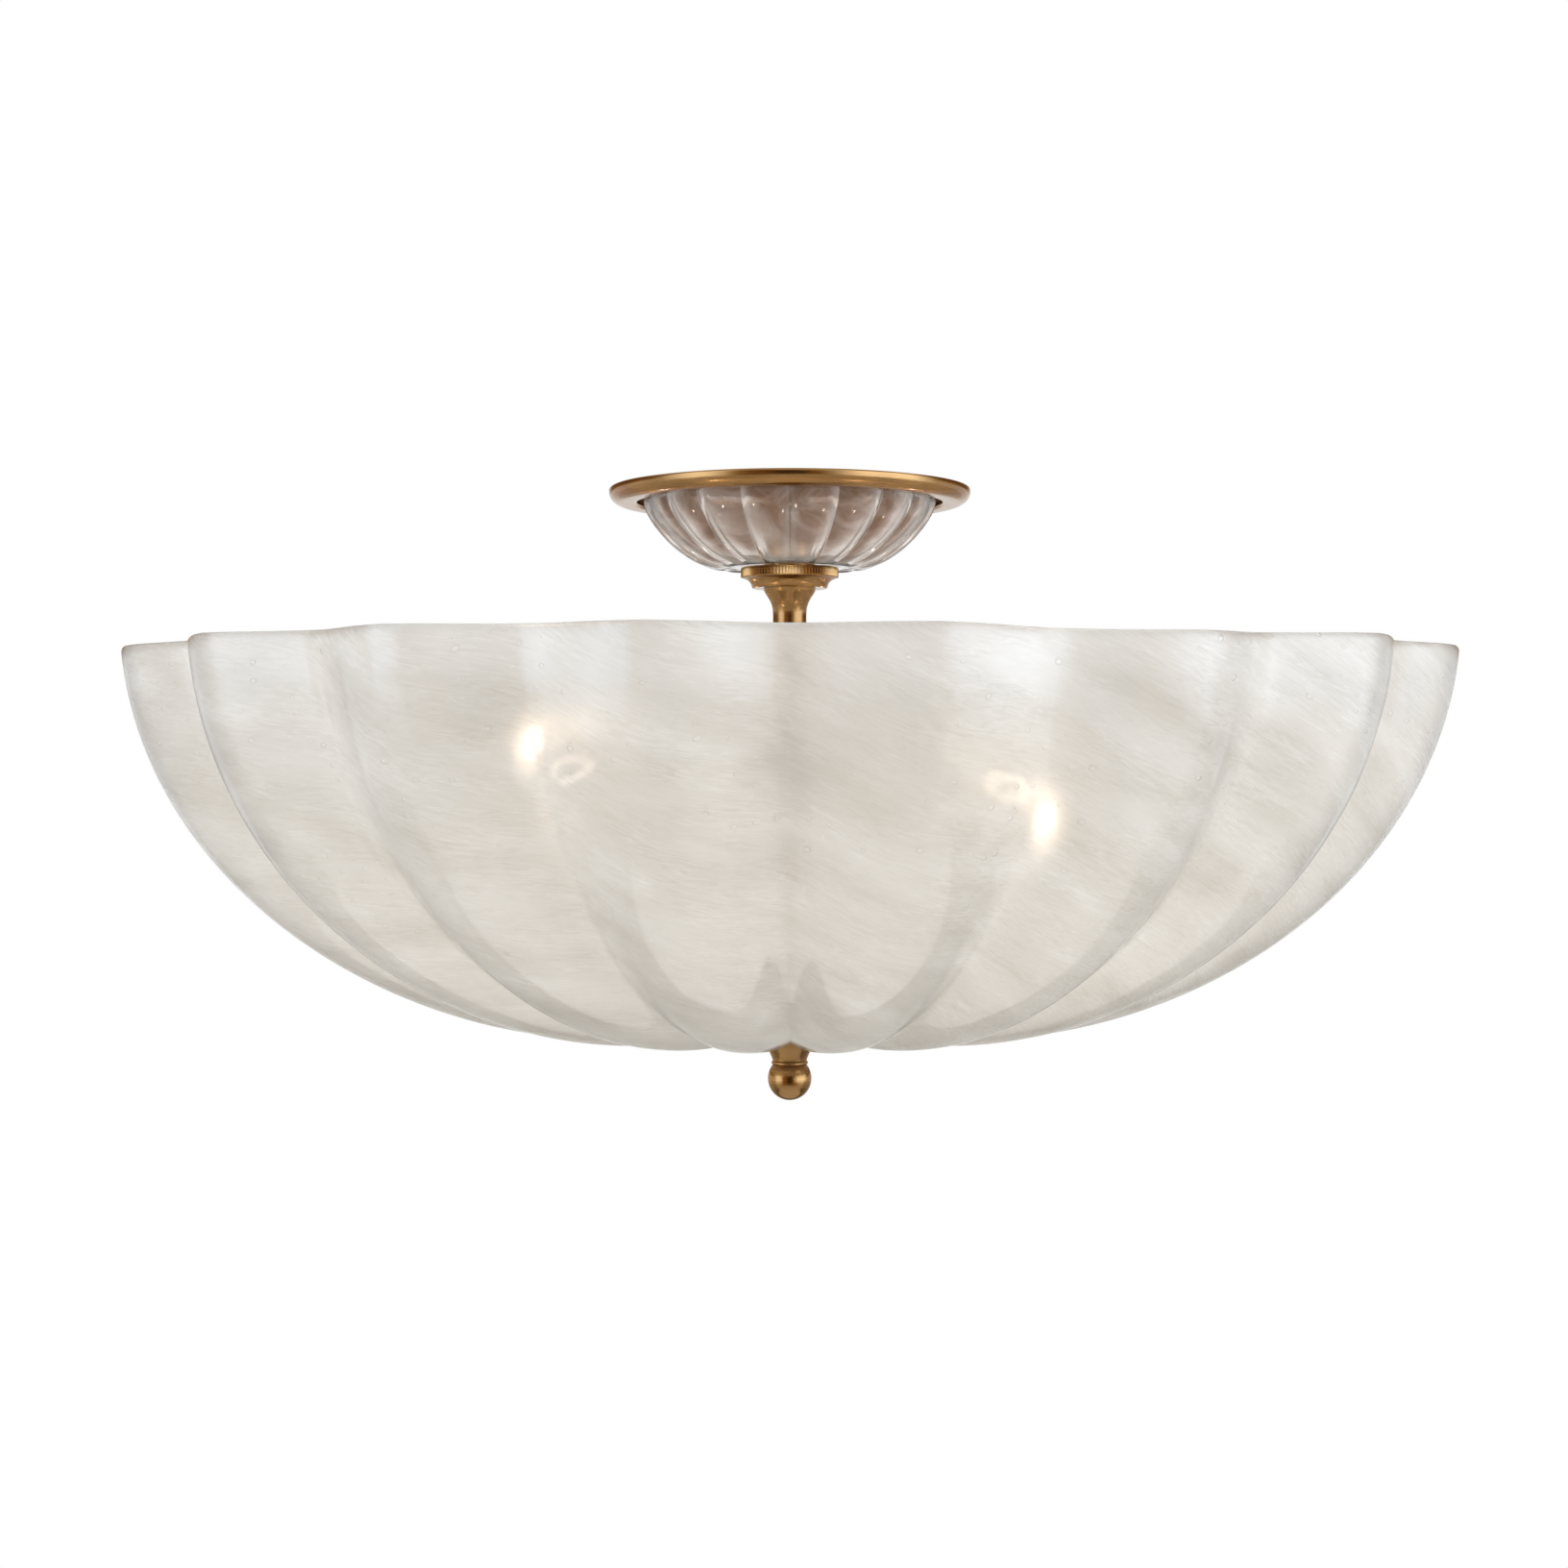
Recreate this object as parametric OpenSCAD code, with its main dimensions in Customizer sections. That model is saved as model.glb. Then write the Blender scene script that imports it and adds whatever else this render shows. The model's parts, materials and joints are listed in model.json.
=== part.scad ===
// Semi-flush ceiling light: a scalloped glass bowl hung under a small fluted glass canopy.
// The origin is the centre of the ceiling plane, with +Z up, so the whole light hangs below it.
// Lengths are millimetres. Angles turn about the stem, from +X towards +Y.

/* [Ceiling ring] */
// Outer diameter of the brass ring
ring_d = 140; // [132:1:170]
// Height of the ring
ring_h = 6; // [5:0.5:8]
// Width of the ring's rounded band
ring_band_w = 11; // [9:0.5:11.5]
// Radius of the band's outer edge
ring_edge_r = 1; // [0.6:0.1:1]
// Thickness of the flange inside the band
ring_flange_t = 1.5; // [1:0.1:2]
// Diameter of the opening inside the flange
ring_opening_d = 106; // [104:0.5:107]

/* [Canopy glass] */
// Number of flutes round the canopy glass
cup_flutes = 18; // [12:1:20]
// Diameter at the bottom of the flutes, at the rim
cup_rim_d = 109; // [108:0.5:111]
// Depth of the canopy glass
cup_depth = 27.8; // [24:0.2:32]
// Wall of the canopy glass
cup_wall = 2.8; // [2:0.1:2.8]
// How far a flute stands out at the rim
cup_flute_h = 2.6; // [1:0.1:3.2]
// How straight the canopy glass comes down from its rim
cup_side_reach = 10; // [9:0.1:16]
// Radius towards which the canopy glass turns in
cup_turn_r = 36.7; // [34:0.1:42]
// Radius of the flat foot of the canopy glass
cup_foot_r = 24; // [21.5:0.1:26]
// Thickness of the gasket on the canopy glass's rim
gasket_t = 1.2; // [0.8:0.1:2]

/* [Knurled collar] */
// Diameter over the collar's knurled band
collar_d = 37.8; // [37:0.2:39.6]
// Height of the knurled band
collar_band_h = 3.9; // [3:0.1:5]
// Height of the collar's curved foot
collar_foot_h = 4.1; // [3.5:0.1:5]
// Diameter of the curved foot at the bottom
collar_foot_d = 29.4; // [27:0.2:30]
// Number of teeth in the knurl
collar_teeth = 96; // [60:1:110]
// Depth of a knurl tooth
collar_tooth_h = 0.6; // [0.3:0.1:0.8]
// Outer diameter of the washer between the collar and the canopy glass
collar_washer_d = 33.4; // [31:0.2:34]
// Thickness of that washer
collar_washer_t = 1; // [0.6:0.1:1.4]

/* [Neck and stem] */
// Diameter of the neck's threaded boss
boss_d = 20; // [18:0.2:20.4]
// How far the boss stands up inside the canopy glass
boss_rise = 9.5; // [6:0.5:11]
// Height of the flare below the collar
flare_h = 9.5; // [7:0.5:12]
// Diameter of the stem
stem_d = 13; // [12:0.2:15]
// Length of the stem between the neck and the cluster
stem_len = 43.5; // [41:0.5:60]

/* [Pipe thread] */
// Diameter of the pipe nipples and rods
pipe_d = 9.6; // [9:0.1:9.8]
// Bore of the pipe, for the wires
pipe_bore_d = 6; // [5:0.1:6.4]
// Width across the flats of the locknuts
nut_af = 14; // [13:0.5:15]
// Thickness of the locknuts
nut_t = 3; // [2.4:0.1:3.4]

/* [Mounting strap] */
// Length of the strap
strap_len = 100.5; // [99:0.5:101.5]
// Width of the strap
strap_w = 19; // [16:0.5:22]
// Thickness of the strap
strap_t = 2; // [1.5:0.1:2.5]
// Distance between the screw slots
slot_spacing = 88.9; // [86:0.1:89.5]
// Length of a screw slot, end to end
slot_len = 7.6; // [6:0.1:8]
// Width of a screw slot
slot_w = 4.6; // [4.2:0.1:5]
// Depth of the tapped hub below the strap
hub_h = 3; // [2:0.1:4]
// Distance of the earth screw from the middle
earth_x = 24; // [20:0.5:30]

/* [Lamp cluster] */
// Turn of the first lamp from +X
lamp_turn = 45; // [0:5:90]
// Diameter of the cluster's body
cluster_d = 44; // [42:0.5:46]
// Height of the cluster's body
cluster_h = 30; // [28:0.5:34]
// Wall of the cluster's body
cluster_wall = 1.6; // [1.2:0.1:2]
// Height of the domed cap on the cluster
cap_h = 5; // [4:0.5:7]
// Distance from the middle to the back of a lampholder
holder_back = 30; // [29:0.5:33]
// Length of a lampholder
holder_len = 36; // [35:0.5:40]
// Outer diameter of a lampholder
holder_d = 37; // [35:0.5:38]
// Thickness of a lampholder's closed back
holder_back_t = 6; // [5:0.5:7]
// Thickness of the screw shell
shell_t = 0.4; // [0.3:0.05:0.6]

/* [Bulbs] */
// Diameter of a bulb's screw base
base_d = 26.2; // [25.8:0.1:26.4]
// Largest diameter of a bulb
bulb_d = 60; // [55:1:64]
// Length of a bulb from its tip contact to its end
bulb_len = 110; // [104:1:116]
// Length of the screw base
base_len = 27; // [26:0.5:28]
// Diameter of the bulb's neck
bulb_neck_d = 26.6; // [25:0.1:27]
// Wall of the bulb's glass
bulb_wall = 0.9; // [0.6:0.1:1.2]

/* [Glass bowl] */
// Number of lobes round the bowl
bowl_lobes = 18; // [12:1:20]
// Diameter at the bottom of the creases, at the rim
bowl_rim_d = 478; // [440:1:500]
// Depth of the bowl
bowl_depth = 144; // [138:0.5:165]
// Distance of the bowl's rim below the ceiling
bowl_drop = 65.2; // [58:0.1:75]
// Wall of the bowl
bowl_wall = 4.5; // [3.5:0.1:6]
// How far a lobe stands out at the rim
bowl_lobe_h = 14; // [8:0.1:22]
// How far the bowl's side leans in on its way down
bowl_side_lean = 7.5; // [4:0.5:12]
// How far the bowl's side keeps that lean
bowl_side_reach = 84; // [70:1:95]
// Radius towards which the bowl turns in
bowl_turn_r = 140; // [120:1:155]
// Radius of the bowl's flat foot
bowl_foot_r = 51; // [42:1:58]
// Height of the rounded lip on the rim
bowl_lip_h = 1.2; // [0.6:0.1:2]

/* [Bowl seat and finial] */
// Diameter of the seat plate inside the bowl
seat_d = 56; // [50:1:60]
// Height of the seat plate
seat_h = 9; // [7:0.5:11]
// Diameter of the seat's hub
seat_hub_d = 19; // [18:0.5:22]
// Diameter of the washers on both sides of the bowl
bowl_washer_d = 32; // [28:1:36]
// Thickness of those washers
bowl_washer_t = 1.5; // [1:0.1:2.5]
// Diameter of the finial's flange
finial_flange_d = 21; // [19:0.5:26]
// Height from the finial's flange to its waist
finial_neck_h = 10.6; // [8.5:0.1:12]
// Diameter of the waist
finial_waist_d = 13.3; // [13:0.1:15]
// Height of the beads between the waist and the ball
finial_bead_h = 1.6; // [1.2:0.1:2.4]
// Diameter of the finial's ball
finial_ball_d = 17; // [16:0.1:20]
// How far the finial screws onto the rod
finial_grip = 9.5; // [8:0.1:12]

/* [Fits] */
// Gap round a pipe in a hole that it passes or screws through
pipe_gap = 0.15; // [0.1:0.05:0.3]
// Gap between parts that move past each other
slide_gap = 0.3; // [0.25:0.05:0.4]
// Gap round the rod in the bowl
bowl_hole_gap = 1.2; // [0.8:0.1:2]
// Gap round the boss in the canopy glass
cup_hole_gap = 1; // [0.6:0.1:1.4]
// Radial gap of the finial on the rod
finial_gap = 0.08; // [0.05:0.01:0.1]
// Gap round a bulb's base in its screw shell
base_gap = 0.4; // [0.35:0.05:0.5]
// Gap between a bulb's tip and the centre contact
contact_gap = 0.3; // [0.2:0.05:0.4]

/* [Hidden] */
// Number of lamps, as many as the nodes above name
lamps = 4;

brass = "#a8894d";
dark_brass = "#7d6234";
steel = "#b9bcc0";
taupe_glass = "#cdb9ad";
white_glass = "#e9e9ea";
opal = "#f4f1ea";
porcelain = "#e8e4da";
rubber = "#3a3a3a";
green = "#3f7d4c";

// A value large enough to cut right through
past = 0.5;
round_fn = 96;

pipe_r = pipe_d / 2;
pipe_hole_r = pipe_r + pipe_gap;
// The heights below follow the parts down from the ceiling, each from the one it touches.
cup_rim_z = -ring_flange_t - gasket_t;
cup_foot_z = cup_rim_z - cup_depth;
collar_top_z = cup_foot_z;
collar_band_z = collar_top_z - collar_band_h;
collar_foot_z = collar_band_z - collar_foot_h;
boss_r = boss_d / 2;
boss_top_z = cup_foot_z + cup_wall + boss_rise;
neck_end_z = collar_foot_z - 1 - flare_h;
nipple_grip = 11;
spigot_grip = 7;
stem_end_z = neck_end_z - stem_len;
cluster_top_z = stem_end_z - cap_h;
cluster_end_z = cluster_top_z - cluster_h;
lamp_z = cluster_top_z - cluster_h / 2;
cluster_bore_r = cluster_d / 2 - cluster_wall;
cap_spigot_h = 3;
cap_plate_t = 2;
cluster_floor_t = 2;
// The bowl hangs from its foot, and the rod reaches down to it.
bowl_rim_z = -bowl_drop;
bowl_foot_z = bowl_rim_z - bowl_depth;
bowl_floor_z = bowl_foot_z + bowl_wall;
bowl_hole_r = pipe_r + bowl_hole_gap;
bowl_flat_r = bowl_washer_d / 2 + 4;
seat_foot_z = bowl_floor_z + bowl_washer_t;
seat_top_z = seat_foot_z + seat_h;
finial_top_z = bowl_foot_z - bowl_washer_t;
finial_waist_z = finial_top_z - finial_neck_h;
finial_ball_z = finial_waist_z - finial_bead_h - sqrt(pow(finial_ball_d / 2, 2) - pow(finial_waist_d / 2, 2));
rod_end_z = finial_top_z - finial_grip;
// Along a lamp's arm, distances are measured out from the stem's axis.
holder_mouth = holder_back + holder_len;
contact_back = holder_back + holder_back_t;
contact_t = 1.6;
bulb_tip = contact_back + contact_t + contact_gap;
shell_r = base_d / 2 + base_gap;
holder_bore_r = shell_r + shell_t;
arm_nut_out = sqrt(pow(cluster_bore_r, 2) - pow(nut_af / sqrt(3), 2)) - 0.1;

// Points along an arc, from angle a to angle b
function arc(centre, r, a, b, steps = 8) = [
    for (i = [0 : steps]) centre + r * [cos(a + (b - a) * i / steps), sin(a + (b - a) * i / steps)]
];

// A cubic curve from p0 to p3, and its direction
function curve(p, t) =
    pow(1 - t, 3) * p[0] + 3 * pow(1 - t, 2) * t * p[1] + 3 * (1 - t) * t * t * p[2] + pow(t, 3) * p[3];
function curve_way(p, t) =
    3 * pow(1 - t, 2) * (p[1] - p[0]) + 6 * (1 - t) * t * (p[2] - p[1]) + 3 * t * t * (p[3] - p[2]);
function curve_points(p, steps = 10) = [for (i = [0 : steps]) curve(p, i / steps)];

// A lobe rises from a crease at -1, is full at 0 and falls to the next crease at 1.
lobe_power = 3.2;
// Share of the lobe's height lost by the time the wall reaches the foot
lobe_fade = 0.92;
function lobe(phase) = 1 - pow(abs(phase), lobe_power);

// Side of a scalloped shell, from the rim at z = 0 down to the foot
function shell_side(rim_r, lean, side_reach, turn_r, foot_r, depth) =
    [[rim_r, 0], [rim_r - lean, -side_reach], [turn_r, -depth], [foot_r, -depth]];

// Direction out of the wall, level at the rim so that the rim stays flat
function wall_out(side, t) =
    let (way = curve_way(side, t)) t == 0 ? [1, 0] : [-way[1], way[0]] / norm(way);

// One point of a skin, as radius and height. inset is 0 on the outside and the wall inside.
// The higher hold is, the further down a lobe keeps its height.
function skin_point(side, t, phase, lobe_h, hold, inset) =
    curve(side, t) + wall_out(side, t) * (lobe_h * (1 - lobe_fade * pow(t, hold)) * lobe(phase) - inset);

// A blown glass shell with sharp creases between round lobes, and a flat foot with a round hole
module scalloped_shell(side, wall, lobe_h, hold, lobes, lip_h, flat_r, hole_r, steps, per_lobe = 6) {
    depth = -side[3][1];
    count = lobes * per_lobe;
    // Points crowd towards the creases, where the wall turns fastest.
    phases = [for (k = [0 : per_lobe - 1]) sin(180 * k / per_lobe - 90)];
    turn = [for (i = [0 : count - 1]) -90 + (floor(i / per_lobe) + (phases[i % per_lobe] + 1) / 2) * 360 / lobes];
    inner = [for (j = [steps : -1 : 0]) [for (i = [0 : count - 1])
        skin_point(side, j / steps, phases[i % per_lobe], lobe_h, hold, wall)]];
    outer = [for (j = [0 : steps]) [for (i = [0 : count - 1])
        skin_point(side, j / steps, phases[i % per_lobe], lobe_h, hold, 0)]];
    lip = [for (i = [0 : count - 1]) (inner[steps][i] + outer[0][i]) / 2 + [0, lip_h]];
    rings = concat(
        [[for (i = [0 : count - 1]) [flat_r, wall - depth]]],
        inner,
        [lip],
        outer,
        [[for (i = [0 : count - 1]) [flat_r, -depth]]]
    );
    last = len(rings) - 1;
    points = [for (ring = rings) for (i = [0 : count - 1])
        [ring[i][0] * cos(turn[i]), ring[i][0] * sin(turn[i]), ring[i][1]]];
    walls = [for (k = [0 : last - 1]) for (i = [0 : count - 1])
        let (a = k * count + i, b = k * count + (i + 1) % count)
        each [[a, b, b + count], [a, b + count, a + count]]];
    floor_face = [for (i = [count - 1 : -1 : 0]) i];
    foot_face = [for (i = [0 : count - 1]) last * count + i];
    difference() {
        polyhedron(points = points, faces = concat([floor_face], walls, [foot_face]));
        translate([0, 0, -depth - past]) cylinder(h = wall + 2 * past, r = hole_r, $fn = round_fn);
    }
}

// A plain tube standing on z
module tube(z, h, outer_r, inner_r) {
    translate([0, 0, z]) difference() {
        cylinder(h = h, r = outer_r, $fn = round_fn);
        translate([0, 0, -past]) cylinder(h = h + 2 * past, r = inner_r, $fn = round_fn);
    }
}

// A hexagon nut standing on z, with a hole for the pipe
module pipe_nut(z) {
    translate([0, 0, z]) difference() {
        cylinder(h = nut_t, r = nut_af / sqrt(3), $fn = 6);
        translate([0, 0, -past]) cylinder(h = nut_t + 2 * past, r = pipe_hole_r, $fn = round_fn);
    }
}

// Puts a part on the arm of lamp n, with z pointing out along the arm
module on_arm(n) {
    rotate([0, 0, lamp_turn + n * 360 / lamps]) translate([0, 0, lamp_z]) rotate([0, 90, 0]) children();
}

module mounting_strap() {
    color(steel) difference() {
        union() {
            translate([-strap_len / 2, -strap_w / 2, -strap_t]) cube([strap_len, strap_w, strap_t]);
            translate([0, 0, -strap_t - hub_h]) cylinder(h = hub_h, r = pipe_r + 2.6, $fn = round_fn);
        }
        translate([0, 0, -strap_t - hub_h - past])
            cylinder(h = strap_t + hub_h + 2 * past, r = pipe_hole_r, $fn = round_fn);
        for (side = [-1, 1]) translate([side * slot_spacing / 2, 0, -strap_t - past]) {
            for (end = [-1, 1]) translate([end * (slot_len - slot_w) / 2, 0, 0])
                cylinder(h = strap_t + 2 * past, r = slot_w / 2, $fn = round_fn);
            translate([-(slot_len - slot_w) / 2, -slot_w / 2, 0])
                cube([slot_len - slot_w, slot_w, strap_t + 2 * past]);
        }
        translate([earth_x, 0, -strap_t - past])
            cylinder(h = strap_t + 2 * past, r = earth_shank_r + pipe_gap, $fn = round_fn);
    }
}

earth_shank_r = 2.3;
earth_head_r = 4.6;
earth_head_h = 3.2;
module earth_screw() {
    color(green) translate([earth_x, 0, -strap_t - earth_head_h]) {
        cylinder(h = earth_head_h, r = earth_head_r, $fn = 6);
        cylinder(h = earth_head_h + strap_t - slide_gap, r = earth_shank_r, $fn = round_fn);
    }
}

nipple_top_z = -slide_gap;
nipple_end_z = boss_top_z - nipple_grip;
module strap_nipple() {
    color(steel) tube(nipple_end_z, nipple_top_z - nipple_end_z, pipe_r, pipe_bore_d / 2);
}

module strap_locknut() {
    color(steel) pipe_nut(-strap_t - hub_h - nut_t);
}

module neck_locknut() {
    color(brass) pipe_nut(boss_top_z);
}

ring_foot_r = ring_h * 0.8;
ring_inner_round_r = 1.2;
module canopy_ring() {
    outer_r = ring_d / 2;
    band_r = outer_r - ring_band_w;
    section = concat(
        [[ring_opening_d / 2, 0]],
        arc([outer_r - ring_edge_r, -ring_edge_r], ring_edge_r, 90, 0, 6),
        arc([outer_r - ring_foot_r, -ring_h + ring_foot_r], ring_foot_r, 0, -90, 8),
        arc([band_r + ring_inner_round_r, -ring_h + ring_inner_round_r], ring_inner_round_r, -90, -180, 4),
        [[band_r, -ring_flange_t], [ring_opening_d / 2, -ring_flange_t]]
    );
    color(brass) rotate_extrude($fn = round_fn) polygon(section);
}

gasket_w = 3.2;
module rim_gasket() {
    color(rubber) tube(cup_rim_z, gasket_t, cup_rim_d / 2 + cup_flute_h / 2, cup_rim_d / 2 - gasket_w);
}

cup_lean = 0.5;
cup_hold = 3;
module canopy_glass() {
    side = shell_side(cup_rim_d / 2, cup_lean, cup_side_reach, cup_turn_r, cup_foot_r, cup_depth);
    color(taupe_glass, 0.9) translate([0, 0, cup_rim_z])
        scalloped_shell(side, cup_wall, cup_flute_h, cup_hold, cup_flutes, 0, cup_foot_r - 1.5,
            boss_r + cup_hole_gap, 8);
}

module collar_washer() {
    color(rubber) tube(collar_top_z - collar_washer_t, collar_washer_t, collar_washer_d / 2, boss_r + 2 * slide_gap);
}

module knurled_collar() {
    bore_r = boss_r + slide_gap;
    band_r = collar_d / 2;
    foot_r = collar_foot_d / 2;
    neck_r = band_r - 2.2;
    // The foot sweeps in under the band, swells once and ends at its rounded lower edge.
    foot = concat(
        [[bore_r, collar_band_z], [neck_r, collar_band_z]],
        curve_points([
            [neck_r, collar_band_z], [neck_r - 0.2, collar_band_z - collar_foot_h * 0.45],
            [foot_r + 0.6, collar_band_z - collar_foot_h * 0.5], [foot_r, collar_foot_z + 0.4]
        ], 8),
        [[foot_r - 0.4, collar_foot_z], [bore_r, collar_foot_z]]
    );
    tooth = 360 / collar_teeth;
    knurl = [for (i = [0 : collar_teeth - 1]) each [
        (band_r - collar_tooth_h) * [cos(i * tooth), sin(i * tooth)],
        band_r * [cos((i + 0.5) * tooth), sin((i + 0.5) * tooth)]
    ]];
    color(brass) difference() {
        union() {
            translate([0, 0, collar_band_z]) linear_extrude(height = collar_band_h) polygon(knurl);
            rotate_extrude($fn = round_fn) polygon(foot);
        }
        translate([0, 0, collar_foot_z - past])
            cylinder(h = collar_band_h + collar_foot_h + 2 * past, r = bore_r, $fn = round_fn);
        translate([0, 0, collar_top_z - collar_washer_t])
            cylinder(h = collar_washer_t + past, r = collar_washer_d / 2 + slide_gap, $fn = round_fn);
    }
}

module neck() {
    stem_r = stem_d / 2;
    flare_z = neck_end_z + flare_h;
    outline = concat(
        [[pipe_bore_d / 2, boss_top_z], [boss_r - 0.8, boss_top_z], [boss_r, boss_top_z - 0.8]],
        curve_points([
            [boss_r, flare_z], [boss_r - 1.6, flare_z - flare_h * 0.3],
            [stem_r, flare_z - flare_h * 0.45], [stem_r, neck_end_z]
        ], 12),
        [[pipe_bore_d / 2, neck_end_z]]
    );
    color(brass) difference() {
        rotate_extrude($fn = round_fn) polygon(outline);
        translate([0, 0, boss_top_z - nipple_grip - 1])
            cylinder(h = nipple_grip + 1 + past, r = pipe_hole_r, $fn = round_fn);
        translate([0, 0, neck_end_z - past])
            cylinder(h = spigot_grip + 1 + past, r = pipe_hole_r, $fn = round_fn);
    }
}

cap_pass = nut_t + 1.5;
module stem_tube() {
    threaded_end_z = stem_end_z - cap_h - cap_spigot_h - cap_pass;
    color(brass) union() {
        tube(stem_end_z, stem_len, stem_d / 2, pipe_bore_d / 2);
        tube(threaded_end_z, neck_end_z + spigot_grip - threaded_end_z, pipe_r, pipe_bore_d / 2);
    }
}

module cluster_cap() {
    cap_r = cluster_d / 2;
    dome = concat(
        [[pipe_hole_r, stem_end_z]],
        curve_points([
            [stem_d / 2 + 1.5, stem_end_z], [cap_r * 0.7, stem_end_z],
            [cap_r, cluster_top_z + cap_h * 0.75], [cap_r, cluster_top_z]
        ], 8),
        [
            [cluster_bore_r - pipe_gap, cluster_top_z],
            [cluster_bore_r - pipe_gap, cluster_top_z - cap_spigot_h],
            [pipe_hole_r, cluster_top_z - cap_spigot_h]
        ]
    );
    color(brass) rotate_extrude($fn = round_fn) polygon(dome);
}

module stem_locknut() {
    color(steel) pipe_nut(cluster_top_z - cap_spigot_h - nut_t);
}

cluster_edge_r = 4;
module cluster_body() {
    body_r = cluster_d / 2;
    outline = concat(
        [[cluster_bore_r, cluster_top_z], [body_r, cluster_top_z]],
        arc([body_r - cluster_edge_r, cluster_end_z + cluster_edge_r], cluster_edge_r, 0, -90, 6),
        [[pipe_hole_r, cluster_end_z], [pipe_hole_r, cluster_end_z + cluster_floor_t]],
        arc(
            [body_r - cluster_edge_r, cluster_end_z + cluster_edge_r],
            cluster_edge_r - cluster_wall, -90, 0, 6
        )
    );
    color(brass) difference() {
        rotate_extrude($fn = round_fn) polygon(outline);
        for (n = [0 : lamps - 1]) on_arm(n)
            translate([0, 0, cluster_bore_r / 2]) cylinder(h = body_r, r = pipe_hole_r, $fn = round_fn);
    }
}

module rod_locknut() {
    color(steel) pipe_nut(cluster_end_z + cluster_floor_t);
}

module rod_hub_nut() {
    color(brass) pipe_nut(cluster_end_z - nut_t);
}

arm_nipple_back = arm_nut_out - nut_t - 0.5;
module arm_nipples() {
    color(steel) for (n = [0 : lamps - 1]) on_arm(n)
        tube(arm_nipple_back, contact_back - 1 - arm_nipple_back, pipe_r, pipe_bore_d / 2);
}

module arm_locknuts() {
    color(steel) for (n = [0 : lamps - 1]) on_arm(n) pipe_nut(arm_nut_out - nut_t);
}

module lampholder(n) {
    holder_r = holder_d / 2;
    outline = concat(
        [[pipe_hole_r, holder_back]],
        arc([holder_r - 4, holder_back + 4], 4, -90, 0, 5),
        [
            [holder_r, holder_mouth - 5],
            [holder_r - 1, holder_mouth - 4],
            [holder_r - 1, holder_mouth],
            [holder_bore_r, holder_mouth],
            [holder_bore_r, contact_back],
            [pipe_hole_r, contact_back]
        ]
    );
    color(porcelain) on_arm(n) rotate_extrude($fn = round_fn) polygon(outline);
}

module screw_shell(n) {
    color(brass) on_arm(n) tube(contact_back, holder_len - holder_back_t - 1, holder_bore_r, shell_r);
}

module centre_contact(n) {
    color(brass) on_arm(n) translate([0, 0, contact_back]) cylinder(h = contact_t, r = 5, $fn = round_fn);
}

base_tip_h = 1.5;
base_cone_h = 4;
base_grooves = 5;
groove_h = 1.1;
module bulb_base(n) {
    base_r = base_d / 2;
    thread_start = bulb_tip + base_tip_h + base_cone_h;
    pitch = (base_len - base_tip_h - base_cone_h - 2) / base_grooves;
    // Each thread turn is a shallow ridge between two valleys.
    threads = [for (i = [0 : base_grooves - 1]) each [
        [base_r - groove_h, thread_start + i * pitch],
        [base_r, thread_start + (i + 0.5) * pitch]
    ]];
    outline = concat(
        [[0, bulb_tip], [4, bulb_tip], [4.8, bulb_tip + base_tip_h], [base_r - groove_h, thread_start]],
        [for (p = threads) if (p[1] > thread_start) p],
        [
            [base_r - groove_h, bulb_tip + base_len - 2],
            [bulb_neck_d / 2 - groove_h / 2, bulb_tip + base_len],
            [0, bulb_tip + base_len]
        ]
    );
    color(steel) on_arm(n) rotate_extrude($fn = round_fn) polygon(outline);
}

// Angle from the bulb's end at which its ball passes into its neck
bulb_turn = 130;
function bulb_outline(inset) =
    let (
        ball_r = bulb_d / 2 - inset,
        neck_r = bulb_neck_d / 2 - inset,
        centre = bulb_tip + bulb_len - bulb_d / 2,
        start = bulb_tip + base_len,
        turn_point = [ball_r * sin(bulb_turn), centre + ball_r * cos(bulb_turn)],
        neck = [
            [neck_r, start], [neck_r, start + (turn_point[1] - start) * 0.4],
            turn_point + 0.45 * ball_r * [cos(bulb_turn), -sin(bulb_turn)], turn_point
        ]
    )
    concat(curve_points(neck, 8), [for (i = [1 : 14]) let (a = bulb_turn * (1 - i / 14))
        [ball_r * sin(a), centre + ball_r * cos(a)]]);

module bulb_glass(n) {
    outer = bulb_outline(0);
    inner = bulb_outline(bulb_wall);
    outline = concat(outer, [for (i = [len(inner) - 1 : -1 : 0]) inner[i]]);
    color(opal) on_arm(n) rotate_extrude($fn = round_fn) polygon(outline);
}

module lower_rod() {
    top_z = cluster_end_z + cluster_floor_t + nut_t + 2;
    color(dark_brass) tube(rod_end_z, top_z - rod_end_z, pipe_r, pipe_bore_d / 2);
}

module seat_nut() {
    color(brass) pipe_nut(seat_top_z);
}

module bowl_seat() {
    seat_edge_t = 1.6;
    outline = concat(
        [[pipe_hole_r, seat_foot_z], [pipe_hole_r, seat_top_z], [seat_hub_d / 2 - 1, seat_top_z]],
        curve_points([
            [seat_hub_d / 2, seat_top_z - 1], [seat_hub_d / 2, seat_foot_z + seat_h * 0.35],
            [seat_d / 2 - 6, seat_foot_z + seat_edge_t + 1.4], [seat_d / 2, seat_foot_z + seat_edge_t]
        ], 8),
        [[seat_d / 2, seat_foot_z]]
    );
    color(brass) rotate_extrude($fn = round_fn) polygon(outline);
}

module inner_washer() {
    color(rubber) tube(bowl_floor_z, bowl_washer_t, bowl_washer_d / 2, pipe_r + slide_gap);
}

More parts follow.
